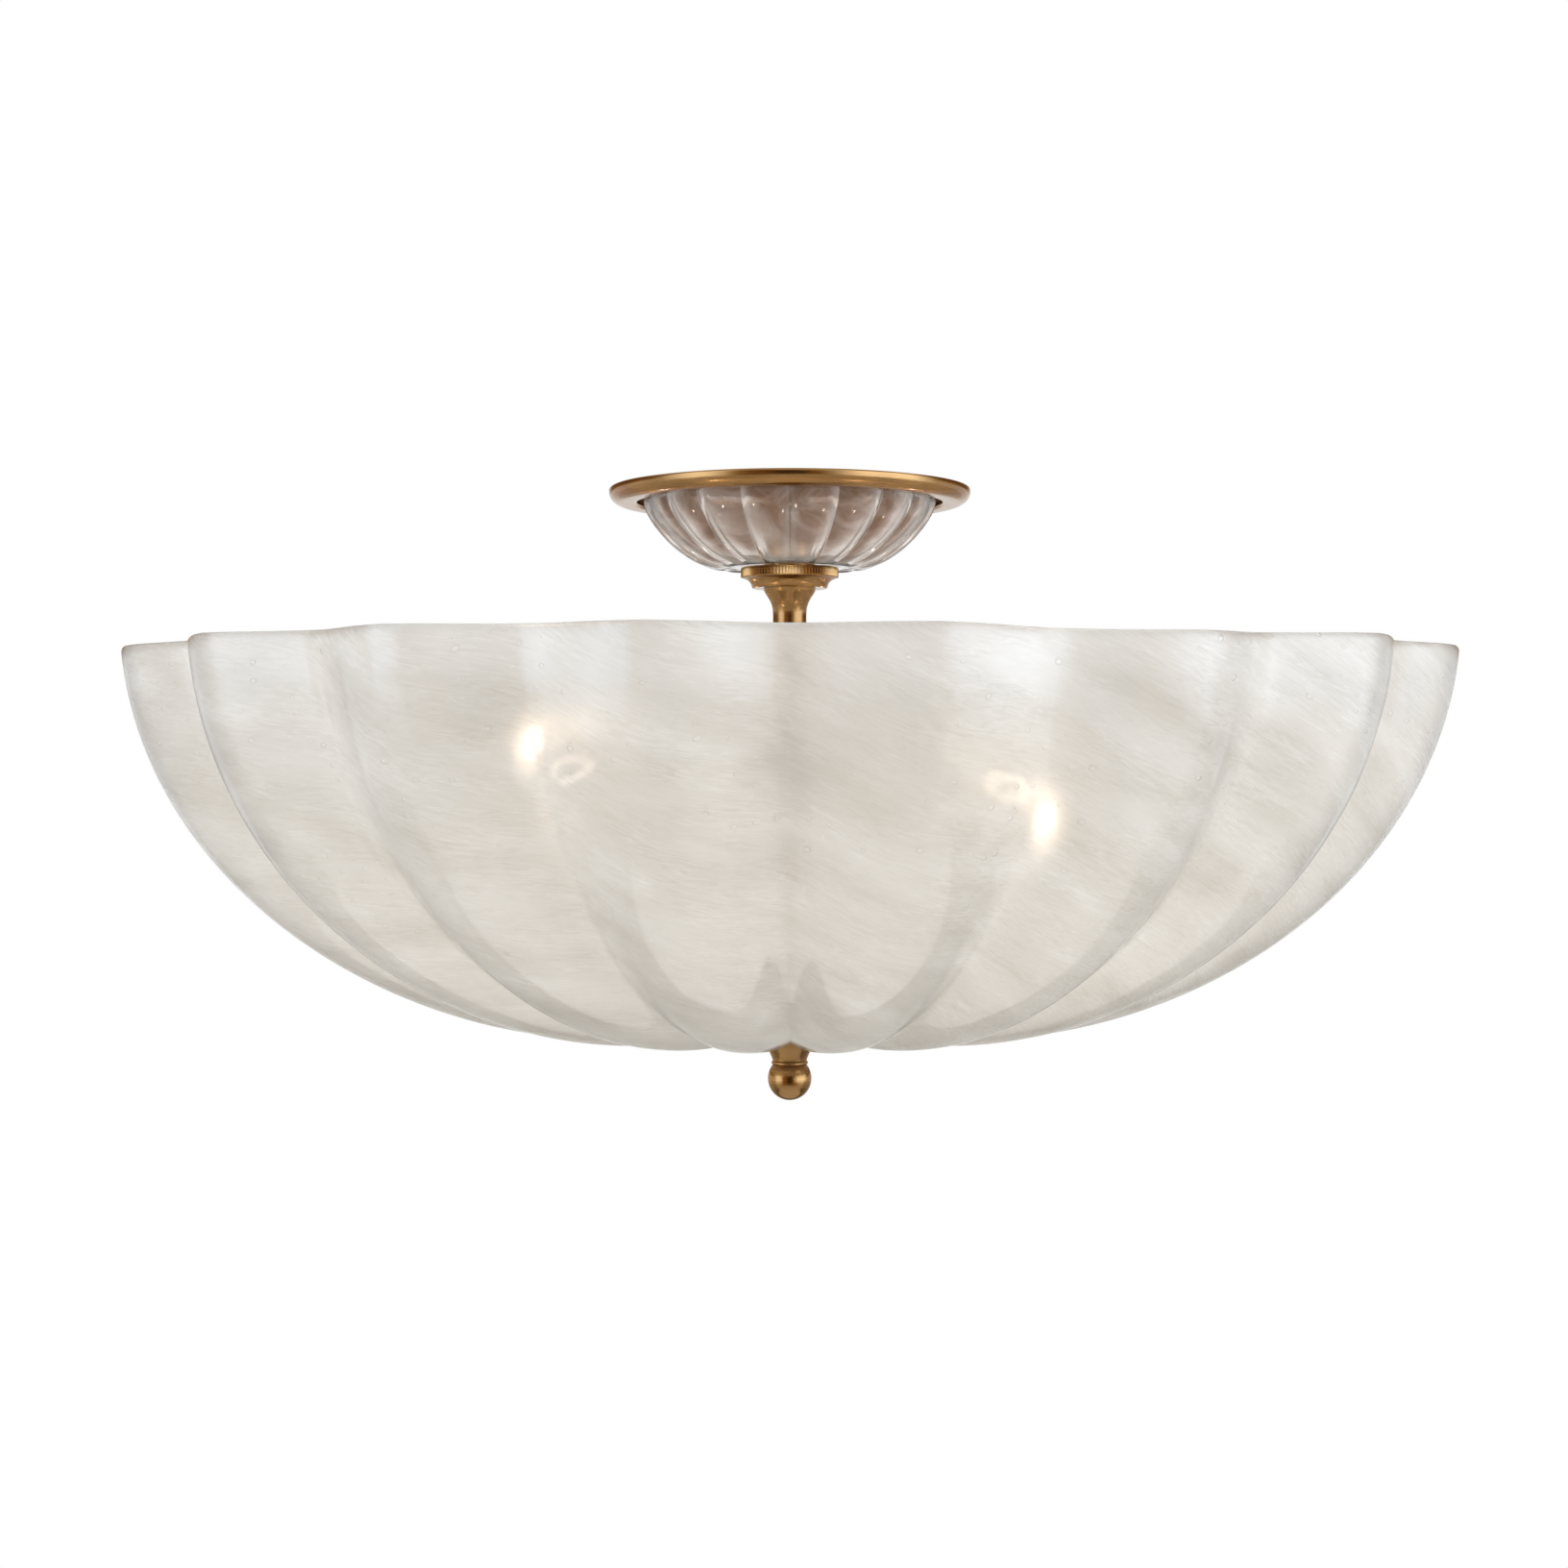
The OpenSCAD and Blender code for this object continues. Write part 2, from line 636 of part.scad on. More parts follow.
bowl_hold = 1.65;
module bowl_glass() {
    side = shell_side(bowl_rim_d / 2, bowl_side_lean, bowl_side_reach, bowl_turn_r, bowl_foot_r, bowl_depth);
    color(white_glass, 0.9) translate([0, 0, bowl_rim_z])
        scalloped_shell(side, bowl_wall, bowl_lobe_h, bowl_hold, bowl_lobes, bowl_lip_h, bowl_flat_r,
            bowl_hole_r, 13);
}

module outer_washer() {
    washer_r = finial_flange_d / 2 - 0.6;
    color(rubber) tube(bowl_foot_z - bowl_washer_t, bowl_washer_t, washer_r, pipe_r + slide_gap);
}

module finial() {
    flange_r = finial_flange_d / 2;
    waist_r = finial_waist_d / 2;
    ball_r = finial_ball_d / 2;
    ball_turn = asin(waist_r / ball_r);
    rim_t = 1.2;
    outline = concat(
        [[0, finial_top_z], [flange_r, finial_top_z], [flange_r, finial_top_z - rim_t]],
        curve_points([
            [flange_r - 0.6, finial_top_z - rim_t - 0.3],
            [flange_r - 1.2, finial_top_z - finial_neck_h * 0.54],
            [waist_r + 0.4, finial_top_z - finial_neck_h * 0.78],
            [waist_r, finial_waist_z]
        ], 10),
        arc([waist_r - 0.3, finial_waist_z - finial_bead_h / 2], finial_bead_h / 2, 80, -80, 6),
        [for (i = [0 : 12]) let (a = ball_turn + (180 - ball_turn) * i / 12)
            [ball_r * sin(a), finial_ball_z + ball_r * cos(a)]]
    );
    color(dark_brass) difference() {
        rotate_extrude($fn = round_fn) polygon(outline);
        translate([0, 0, rod_end_z - 1])
            cylinder(h = finial_grip + 1 + past, r = pipe_r + finial_gap, $fn = round_fn);
    }
}

mounting_strap();
earth_screw();
strap_nipple();
strap_locknut();
neck_locknut();
canopy_ring();
rim_gasket();
canopy_glass();
collar_washer();
knurled_collar();
neck();
stem_tube();
cluster_cap();
cluster_body();
stem_locknut();
rod_locknut();
rod_hub_nut();
arm_nipples();
arm_locknuts();
for (n = [0 : lamps - 1]) {
    lampholder(n);
    screw_shell(n);
    centre_contact(n);
    bulb_base(n);
    bulb_glass(n);
}
lower_rod();
seat_nut();
bowl_seat();
inner_washer();
bowl_glass();
outer_washer();
finial();
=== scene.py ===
"""Dresses the semi-flush ceiling light: blown glass, turned brass, lamps and a plain studio."""

import json
import math
from contextlib import contextmanager

import bpy
from bpy.props import FloatProperty, FloatVectorProperty, IntProperty, PointerProperty
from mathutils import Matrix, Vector, noise

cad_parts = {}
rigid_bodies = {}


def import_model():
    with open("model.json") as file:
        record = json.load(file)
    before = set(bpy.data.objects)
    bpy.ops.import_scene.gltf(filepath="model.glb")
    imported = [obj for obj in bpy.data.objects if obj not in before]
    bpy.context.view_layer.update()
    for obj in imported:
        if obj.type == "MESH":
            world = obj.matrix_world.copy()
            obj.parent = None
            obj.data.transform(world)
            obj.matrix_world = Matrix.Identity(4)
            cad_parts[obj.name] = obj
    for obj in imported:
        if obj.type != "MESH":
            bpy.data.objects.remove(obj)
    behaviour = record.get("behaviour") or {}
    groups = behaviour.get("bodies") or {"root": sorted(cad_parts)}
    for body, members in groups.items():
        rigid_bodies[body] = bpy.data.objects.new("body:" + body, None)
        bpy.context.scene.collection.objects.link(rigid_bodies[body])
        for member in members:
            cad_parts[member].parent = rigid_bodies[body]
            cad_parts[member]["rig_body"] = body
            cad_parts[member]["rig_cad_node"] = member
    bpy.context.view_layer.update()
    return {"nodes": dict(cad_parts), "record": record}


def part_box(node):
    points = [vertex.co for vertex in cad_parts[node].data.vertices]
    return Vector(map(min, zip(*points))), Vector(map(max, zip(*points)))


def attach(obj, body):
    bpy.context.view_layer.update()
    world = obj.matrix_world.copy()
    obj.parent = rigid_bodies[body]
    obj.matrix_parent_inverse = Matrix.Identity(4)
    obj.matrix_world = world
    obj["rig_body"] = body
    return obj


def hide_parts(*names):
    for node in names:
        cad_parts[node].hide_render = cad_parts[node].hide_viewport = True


bl_info = {
    "name": "Scalloped Bowl Ceiling Light",
    "version": (1, 0, 0),
    "blender": (4, 5, 0),
    "location": "View3D > Sidebar > Ceiling Light",
    "description": "Blown glass bowl and canopy, turned brass and bulbs of a semi-flush ceiling light",
    "category": "Add Mesh",
}

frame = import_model()
MM = 0.001
LAMPS = range(1, 5)


def linear(hex_colour):
    """sRGB hex to the linear colour that Blender's sockets take."""
    values = [int(hex_colour[i : i + 2], 16) / 255 for i in (1, 3, 5)]
    return tuple(v / 12.92 if v <= 0.04045 else ((v + 0.055) / 1.055) ** 2.4 for v in values)


def heights_of(node):
    """Lowest and highest point of a CAD node."""
    return [corner.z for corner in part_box(node)]


def length_prop(name, description, metres):
    return FloatProperty(name=name, description=description, default=metres, unit="LENGTH")


def count_prop(name, description, number, least):
    return IntProperty(name=name, description=description, default=number, min=least)


def colour_prop(name, description, hex_colour):
    colour = linear(hex_colour)
    return FloatVectorProperty(name=name, description=description, default=colour, subtype="COLOR")


class LightSizes(bpy.types.PropertyGroup):
    """Sizes of the dressed light that a user would change."""

    bowl_lobes: count_prop("Bowl lobes", "Lobes round the glass bowl", 18, 12)
    cup_flutes: count_prop("Flutes", "Flutes round the canopy glass", 18, 12)
    bowl_rim_r: length_prop("Rim radius", "Radius of the bowl's creases at the rim", 0.239)
    bowl_depth: length_prop("Bowl depth", "Rim to foot", 0.144)
    bowl_wall: length_prop("Bowl wall", "Thickness of the bowl", 0.0045)
    bowl_lobe_h: length_prop("Lobe height", "How far a lobe stands out at the rim", 0.014)
    cup_rim_r: length_prop("Canopy glass radius", "Radius of the creases at the rim", 0.0545)
    cup_depth: length_prop("Canopy glass depth", "Rim to foot", 0.0278)
    cup_wall: length_prop("Canopy glass wall", "Thickness of the canopy glass", 0.0028)
    cup_flute_h: length_prop("Flute height", "How far a flute stands out at the rim", 0.0026)
    knurl_teeth: count_prop("Knurl teeth", "Teeth round the collar", 96, 24)
    knurl_depth: length_prop("Knurl depth", "Depth of a tooth", 0.0004)


class LightColours(bpy.types.PropertyGroup):
    """Colours of the light's finishes."""

    brass: colour_prop("Brass", "Antique brass", "#a27840")
    brass_shade: colour_prop("Brass shade", "Where the brass has darkened", "#845e2b")
    bowl_light: colour_prop("Bowl streaks", "Paler streaks of the bowl", "#f7f7f5")
    bowl_shade: colour_prop("Bowl ground", "Ground colour of the bowl", "#e2ded7")
    cup_light: colour_prop("Canopy wisps", "Paler wisps of the canopy glass", "#e9e0d9")
    cup_shade: colour_prop("Canopy ground", "Ground of the canopy glass", "#855f42")


# Outlines


def arc(centre, radius, start, end, steps=8):
    """Points along an arc in the outline's plane, angles in degrees."""
    turns = [math.radians(start + (end - start) * i / steps) for i in range(steps + 1)]
    return [(centre[0] + radius * math.cos(a), centre[1] + radius * math.sin(a)) for a in turns]


def curve(p, t):
    """A point of the cubic curve with the four control points p."""
    weights = ((1 - t) ** 3, 3 * (1 - t) ** 2 * t, 3 * (1 - t) * t * t, t**3)
    return Vector([sum(w * q[i] for w, q in zip(weights, p)) for i in (0, 1)])


def curve_out(p, t):
    """Unit vector square to the curve, pointing away from the stem or down."""
    ends = [Vector(p[i + 1]) - Vector(p[i]) for i in range(3)]
    way = (1 - t) ** 2 * ends[0] + 2 * (1 - t) * t * ends[1] + t * t * ends[2]
    return Vector((-way.y, way.x)).normalized()


def curve_points(p, steps=12):
    return [tuple(curve(p, i / steps)) for i in range(steps + 1)]


# Mesh making


def deselect():
    bpy.ops.object.select_all(action="DESELECT")


def activate(obj):
    deselect()
    obj.select_set(True)
    bpy.context.view_layer.objects.active = obj


@contextmanager
def all_in_edit_mode(obj):
    """Edit mode, with the whole of the object's mesh selected."""
    activate(obj)
    bpy.ops.object.mode_set(mode="EDIT")
    bpy.ops.mesh.select_all(action="SELECT")
    yield
    bpy.ops.object.mode_set(mode="OBJECT")


def rest_at_origin(obj):
    """Puts the object's place into its mesh."""
    activate(obj)
    bpy.ops.object.transform_apply(location=True, rotation=True, scale=True)


def apply_modifier(obj, kind, **settings):
    activate(obj)
    modifier = obj.modifiers.new(kind.title(), kind)
    for name, value in settings.items():
        setattr(modifier, name, value)
    bpy.ops.object.modifier_apply(modifier=modifier.name)


def smooth(obj, degrees=32):
    activate(obj)
    bpy.ops.object.shade_smooth_by_angle(angle=math.radians(degrees))


def merge(obj, distance=2e-6):
    with all_in_edit_mode(obj):
        bpy.ops.mesh.remove_doubles(threshold=distance)
        bpy.ops.mesh.normals_make_consistent(inside=False)


def turned(name, outline, steps=144):
    """Spins a closed outline of radius and height points round the stem's axis."""
    deselect()
    bpy.ops.mesh.primitive_circle_add(vertices=len(outline), radius=1, fill_type="NOTHING")
    obj = bpy.context.active_object
    obj.name = obj.data.name = name
    for vertex, (r, z) in zip(obj.data.vertices, outline):
        vertex.co = (r, 0, z)
    with all_in_edit_mode(obj):
        bpy.ops.mesh.spin(steps=steps, angle=math.tau, center=(0, 0, 0), axis=(0, 0, 1))
    merge(obj)
    smooth(obj)
    return obj


# A lobe rises from a crease at phase -1, is full at 0 and falls to the next crease at 1.
LOBE_POWER = 3.2
LOBE_FADE = 0.92
# Rows of a shell's flat foot: from its side to the seat, where the lobes have died out, and on to the hole
SEAT_STEPS = 4
HOLE_STEPS = 2
# Waves per metre of the hand-made bowl's faults, in its side and in its rim
SIDE_WAVES = 9
RIM_WAVES = 7
RIM_SEED = Vector((3, 1, 5))
# Where the bowl's hand-finished rim dips: turn from +X and spread in degrees, and how far
RIM_DIPS = ((-62, 14, 1.8 * MM), (-91, 20, 1.3 * MM))


def lobe(phase, round_off):
    """Height of a lobe from 0 to 1, with its crease rounded off."""
    away, full = (math.hypot(a, round_off) - round_off for a in (1 - abs(phase), 1))
    return (1 - (1 - away) ** LOBE_POWER) / (1 - (1 - full) ** LOBE_POWER)


def foot_radius(step, side_r, flat_r, hole_r):
    """Radius of a row of the flat foot, by its steps from the side."""
    if step <= SEAT_STEPS:
        return side_r + (flat_r - side_r) * step / SEAT_STEPS
    return flat_r + (hole_r - flat_r) * (step - SEAT_STEPS) / HOLE_STEPS


def make_untrue(place, turn, t, sag):
    """Blown glass is never quite true: it falls short of the mould, and its rim dips on one side."""
    short = sag * (0.5 + 0.5 * noise.noise(place * SIDE_WAVES)) * max(0.0, 1 - t**4)
    place.x -= short * math.cos(turn)
    place.y -= short * math.sin(turn)
    near_rim = max(0.0, 1 - 3 * t)
    place.z += sag * noise.noise(place * RIM_WAVES + RIM_SEED) * near_rim
    for middle, spread, drop in RIM_DIPS:
        away = math.remainder(turn - math.radians(middle), math.tau) / math.radians(spread)
        place.z -= drop * math.exp(-(away**2)) * near_rim


def scalloped_shell(
    name, side, lobes, lobe_h, hold, wall, rim_z, flat_r, hole_r, per_lobe, down,
    crease=0.03, rim_crease=0.03, sag=0.0, lip=0.5,
):
    """A blown shell: a grid is rolled round the stem, its lobes are raised, and it gets wall and rim.

    Side holds the control points of the curve that the creases follow, from the rim to the flat foot.
    Rows of the grid run down that curve and in over the foot. Columns lie closer at the creases."""
    rows = down + SEAT_STEPS + HOLE_STEPS
    deselect()
    bpy.ops.mesh.primitive_grid_add(x_subdivisions=lobes * per_lobe, y_subdivisions=rows, size=2)
    obj = bpy.context.active_object
    obj.name = obj.data.name = name
    for vertex in obj.data.vertices:
        column = round((vertex.co.x + 1) / 2 * lobes * per_lobe)
        row = (1 - vertex.co.y) / 2 * rows
        phase = math.sin(math.pi * (column % per_lobe) / per_lobe - math.pi / 2)
        turn = math.tau / lobes * (column // per_lobe + (phase + 1) / 2) + math.pi / 2
        t = min(1.0, row / down)
        round_off = crease + (rim_crease - crease) * (1 - t) ** 2
        raised = lobe_h * (1 - LOBE_FADE * t**hold) * lobe(phase, round_off)
        if row > down:
            step = row - down
            r = foot_radius(step, side[3][0], flat_r, hole_r)
            point = Vector((r, side[3][1] - raised * (1 - min(1.0, step / SEAT_STEPS))))
        else:
            out = Vector((1, 0)) if t == 0 else curve_out(side, t)
            point = curve(side, t) + out * raised
        place = Vector((point.x * math.cos(turn), point.x * math.sin(turn), point.y + rim_z))
        if sag:
            make_untrue(place, turn, t, sag)
        vertex.co = place
    merge(obj, 1e-6)
    if not faces_point_out(obj):
        with all_in_edit_mode(obj):
            bpy.ops.mesh.flip_normals()
    apply_modifier(obj, "SOLIDIFY", thickness=wall, offset=-1, use_even_offset=True, use_rim=True)
    round_rim(obj, wall * lip)
    smooth(obj, 50)
    return obj


def faces_point_out(obj):
    """True if most faces of a bowl-like sheet face away from its middle."""
    middle = Vector((0, 0, max(v.co.z for v in obj.data.vertices)))
    return sum((p.center - middle).dot(p.normal) * p.area for p in obj.data.polygons) > 0


def round_rim(obj, width):
    """Bevels the two edges of a shell's rim, where a flat face meets a steep one near the top."""
    with all_in_edit_mode(obj):
        bpy.ops.mesh.select_all(action="DESELECT")
    mesh = obj.data
    facing_up, rim_band = 0.7, 4 * MM
    faces_at = {}
    for polygon in mesh.polygons:
        flat = polygon.normal.z > facing_up
        for key in polygon.edge_keys:
            faces_at.setdefault(key, []).append(flat)
    heights = [vertex.co.z for vertex in mesh.vertices]
    near_top = max(heights) - rim_band
    chosen = []
    for edge in mesh.edges:
        a, b = sorted(edge.vertices)
        flats = faces_at.get((a, b), [])
        at_rim = min(heights[a], heights[b]) > near_top
        chosen.append(at_rim and len(flats) == 2 and flats[0] != flats[1])
    mesh.edges.foreach_set("select", chosen)
    bpy.ops.object.mode_set(mode="EDIT")
    bpy.ops.mesh.select_mode(type="EDGE")
    bpy.ops.mesh.bevel(offset=width, segments=4, clamp_overlap=True)
    bpy.ops.object.mode_set(mode="OBJECT")


def dressed_copy(node, finish, slot, soften=0.0):
    """A welded and smoothed copy of a CAD node that stands for it, with soft edges where wanted."""
    source = frame["nodes"][node]
    obj = source.copy()
    obj.data = source.data.copy()
    obj.name = obj.data.name = "dressed_" + node
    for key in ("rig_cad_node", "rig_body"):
        if key in obj:
            del obj[key]
    obj.parent = None
    bpy.context.scene.collection.objects.link(obj)
    merge(obj, 1e-6)
    if soften:
        same_plane, sharp = math.radians(0.2), math.radians(40)
        # Triangles on one plane become one face first, so that the bevel runs along true edges only.
        with all_in_edit_mode(obj):
            bpy.ops.mesh.dissolve_limited(angle_limit=same_plane)
        apply_modifier(obj, "BEVEL", width=soften, segments=2, limit_method="ANGLE", angle_limit=sharp)
    smooth(obj, 30)
    finished(obj, finish, body_of_node(node), slot, node)


def body_of_node(node):
    bodies = frame["record"]["behaviour"]["bodies"]
    return next(body for body, members in bodies.items() if node in members)


def finished(obj, finish, body, slot, *nodes):
    """Gives a piece its finish and its body, and hides the CAD nodes that it stands for."""
    rest_at_origin(obj)
    obj.data.materials.clear()
    obj.data.materials.append(finish_named(finish))
    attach(obj, body)
    if nodes:
        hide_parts(*nodes)


# Materials


def add(tree, kind, inputs=None, **settings):
    """Adds a node. Its inputs take values, sockets, or nodes, which stand for their first output."""
    node = tree.nodes.new("ShaderNode" + kind)
    for name, value in settings.items():
        setattr(node, name, value)
    for name, value in (inputs or {}).items():
        if isinstance(value, bpy.types.Node):
            value = value.outputs[0]
        if isinstance(value, bpy.types.NodeSocket):
            tree.links.new(value, node.inputs[name])
        else:
            node.inputs[name].default_value = value
    return node


def new_material(name):
    material = bpy.data.materials.new(name)
    material.use_nodes = True
    material.node_tree.nodes.clear()
    return material, material.node_tree


def colour4(colour):
    return (*colour, 1.0)


def object_points(tree, *size_mm):
    """Object coordinates in units of the pattern's real size along X, Y and Z."""
    place = add(tree, "TexCoord").outputs["Object"]
    return add(tree, "Mapping", {"Vector": place, "Scale": [1 / (size * MM) for size in size_mm]})


def round_stem(tree):
    """Turn about the stem's axis from the front, distance from the axis, and height."""
    place = add(tree, "TexCoord").outputs["Object"]
    x, y, height = add(tree, "SeparateXYZ", {"Vector": place}).outputs
    front = add(tree, "Math", {0: y, 1: -1.0}, operation="MULTIPLY")
    turn = add(tree, "Math", {0: x, 1: front}, operation="ARCTAN2")
    flat = add(tree, "CombineXYZ", {"X": x, "Y": y})
    radius = add(tree, "VectorMath", {0: flat}, operation="LENGTH").outputs["Value"]
    return turn, radius, height


def lathe_points(tree, line_mm, sweep_mm):
    """A pattern's coordinates for fine lines that run round the stem, as a lathe leaves them."""
    turn, radius, height = round_stem(tree)
    across = add(tree, "Math", {0: radius, 1: height}, operation="ADD")
    across = add(tree, "Math", {0: across, 1: 1 / (line_mm * MM)}, operation="MULTIPLY")
    around = add(tree, "Math", {0: turn, 1: radius}, operation="MULTIPLY")
    around = add(tree, "Math", {0: around, 1: 1 / (sweep_mm * MM)}, operation="MULTIPLY")
    return add(tree, "CombineXYZ", {"X": around, "Z": across})


# Radius at which the wisps of the bowl have their stated length
BLOWN_RADIUS = 0.2


def blown_points(tree, long_mm, thin_mm, slope=0.0):
    """Coordinates for wisps drawn out round a blown shell, falling to the right by the slope."""
    turn, radius, height = round_stem(tree)
    around = add(tree, "Math", {0: turn, 1: BLOWN_RADIUS}, operation="MULTIPLY")
    down = add(tree, "Math", {0: radius, 1: 0.5, 2: height}, operation="MULTIPLY_ADD")
    down = add(tree, "Math", {0: around, 1: slope, 2: down}, operation="MULTIPLY_ADD")
    along = add(tree, "Math", {0: around, 1: 1 / (long_mm * MM)}, operation="MULTIPLY")
    across = add(tree, "Math", {0: down, 1: 1 / (thin_mm * MM)}, operation="MULTIPLY")
    return add(tree, "CombineXYZ", {"X": along, "Y": across})


def antique_brass(name, light, shade, rough):
    """Brass, turned and brushed on a lathe, then darkened: fine rings round the axis and brown clouds.

    The lathe's lines are drawn 0.35 mm apart, coarser than they are, so that they show."""
    material, tree = new_material(name)
    lines = add(tree, "TexNoise", {"Vector": lathe_points(tree, 0.35, 25), "Scale": 1.0, "Detail": 3.0})
    clouds = add(tree, "TexNoise", {"Vector": object_points(tree, 22, 22, 22), "Scale": 1.0, "Detail": 2.0})
    both = add(tree, "Math", {0: clouds, 1: lines}, operation="ADD")
    worn = add(tree, "MapRange", {"Value": both, "From Min": 0.8, "From Max": 1.25})
    colour = add(tree, "Mix", {"Factor": worn, 6: colour4(shade), 7: colour4(light)}, data_type="RGBA")
    roughness = add(
        tree, "MapRange",
        {"Value": lines, "From Min": 0.3, "From Max": 0.7, "To Min": rough - 0.04, "To Max": rough + 0.05},
    )
    # Where it is seen along its surface, darkened brass stays warm. A thin lacquer lies over it.
    shader = add(
        tree, "BsdfPrincipled",
        {"Base Color": colour.outputs[2], "Metallic": 1.0, "Roughness": roughness,
         "Normal": add(tree, "Bump", {"Height": lines, "Strength": 0.05, "Distance": 0.05 * MM}),
         "Specular Tint": colour4(linear("#c8a878")), "Coat Weight": 0.8, "Coat Roughness": 0.1},
    )
    add(tree, "OutputMaterial", {"Surface": shader})
    return material


def grain_of(tree, light, shade, grain_mm, detail):
    """The faint grain of an even material, and the colour that goes with it."""
    place = object_points(tree, grain_mm, grain_mm, grain_mm)
    grain = add(tree, "TexNoise", {"Vector": place, "Scale": 1.0, "Detail": detail})
    part = add(tree, "MapRange", {"Value": grain, "From Min": 0.3, "From Max": 0.7})
    colours = {6: colour4(linear(shade)), 7: colour4(linear(light))}
    return grain, add(tree, "Mix", {"Factor": part, **colours}, data_type="RGBA").outputs[2]


def grained(name, light, shade, grain_mm, detail, relief, **shine):
    """An even material with a faint grain in its colour and its relief, both from one pattern.

    The grain is drawn coarser than it is, so that it shows."""
    material, tree = new_material(name)
    grain, colour = grain_of(tree, light, shade, grain_mm, detail)
    bump = add(tree, "Bump", {"Height": grain, "Strength": relief[0], "Distance": relief[1]})
    shader = add(tree, "BsdfPrincipled", {"Base Color": colour, "Normal": bump, **shine})
    add(tree, "OutputMaterial", {"Surface": shader})
    return material


def plated_steel(name, light, shade, rough):
    """Steel, rolled and zinc or nickel plated: a dull pale metal with a faint spangle 2 mm across."""
    shine = {"Metallic": 1.0, "Roughness": rough}
    return grained(name, light, shade, 2, 4.0, (0.1, 0.05 * MM), **shine)


def moulded(name, light, shade, rough, grain_mm):
    """Moulded rubber or glazed porcelain: an even colour with a faint grain under its shine."""
    shine = {"Roughness": rough, "IOR": 1.5}
    return grained(name, light, shade, grain_mm, 3.0, (0.08, 0.08 * MM), **shine)


def background_rays(tree):
    """1 for the rays that show the background: the camera's, the mirrored and those through glass."""
    rays = add(tree, "LightPath").outputs
    seen = add(tree, "Math", {0: rays["Is Camera Ray"], 1: rays["Is Glossy Ray"]}, operation="MAXIMUM")
    return add(tree, "Math", {0: seen, 1: rays["Is Transmission Ray"]}, operation="MAXIMUM")


def painted_floor(name, light, shade):
    """Matt paint, rolled on the studio's floor: nearly white where it is seen, with the light's shadow."""
    material, tree = new_material(name)
    _, colour = grain_of(tree, light, shade, 40, 3.0)
    lift = add(tree, "Math", {0: background_rays(tree), 1: FLOOR_LIFT}, operation="MULTIPLY")
    shader = add(
        tree, "BsdfPrincipled",
        {"Base Color": colour, "Roughness": 0.6, "Emission Color": colour, "Emission Strength": lift},
    )
    add(tree, "OutputMaterial", {"Surface": shader})
    return material


def bubble_highlight_and_shade(tree, cell_mm, seed_mm):
    """Gas bubbles trapped in blown glass, in loose clusters: masks of their middle and of their rim, for a
    painted highlight and a painted shade that stand in for the light the bubbles bend.
    """
    cells = add(
        tree, "TexVoronoi", {"Vector": blown_points(tree, cell_mm, cell_mm), "Scale": 1.0},
        voronoi_dimensions="2D",
    ).outputs
    chance = add(tree, "SeparateXYZ", {"Vector": cells["Color"]}).outputs
    spread = add(tree, "Math", {0: chance["Y"], 1: chance["Y"], 2: 0.3}, operation="MULTIPLY_ADD")
    size = add(tree, "Math", {0: spread, 1: seed_mm / cell_mm}, operation="MULTIPLY")
    out = add(tree, "Math", {0: cells["Distance"], 1: size}, operation="DIVIDE")
    depth = add(tree, "Math", {0: 1.0, 1: out}, operation="SUBTRACT")
    crowd = add(tree, "TexNoise", {"Vector": blown_points(tree, 45, 45), "Scale": 1.0, "Detail": 1.0})
    likely = add(tree, "Math", {0: crowd, 1: 2.4, 2: chance["X"]}, operation="MULTIPLY_ADD")
    there = add(tree, "Math", {0: likely, 1: 1.9}, operation="GREATER_THAN")
    return tuple(
        add(tree, "MapRange", {"Value": depth, "From Min": low, "From Max": high, "To Max": there})
        for low, high in ((0.35, 0.6), (0.0, 0.2))
    )


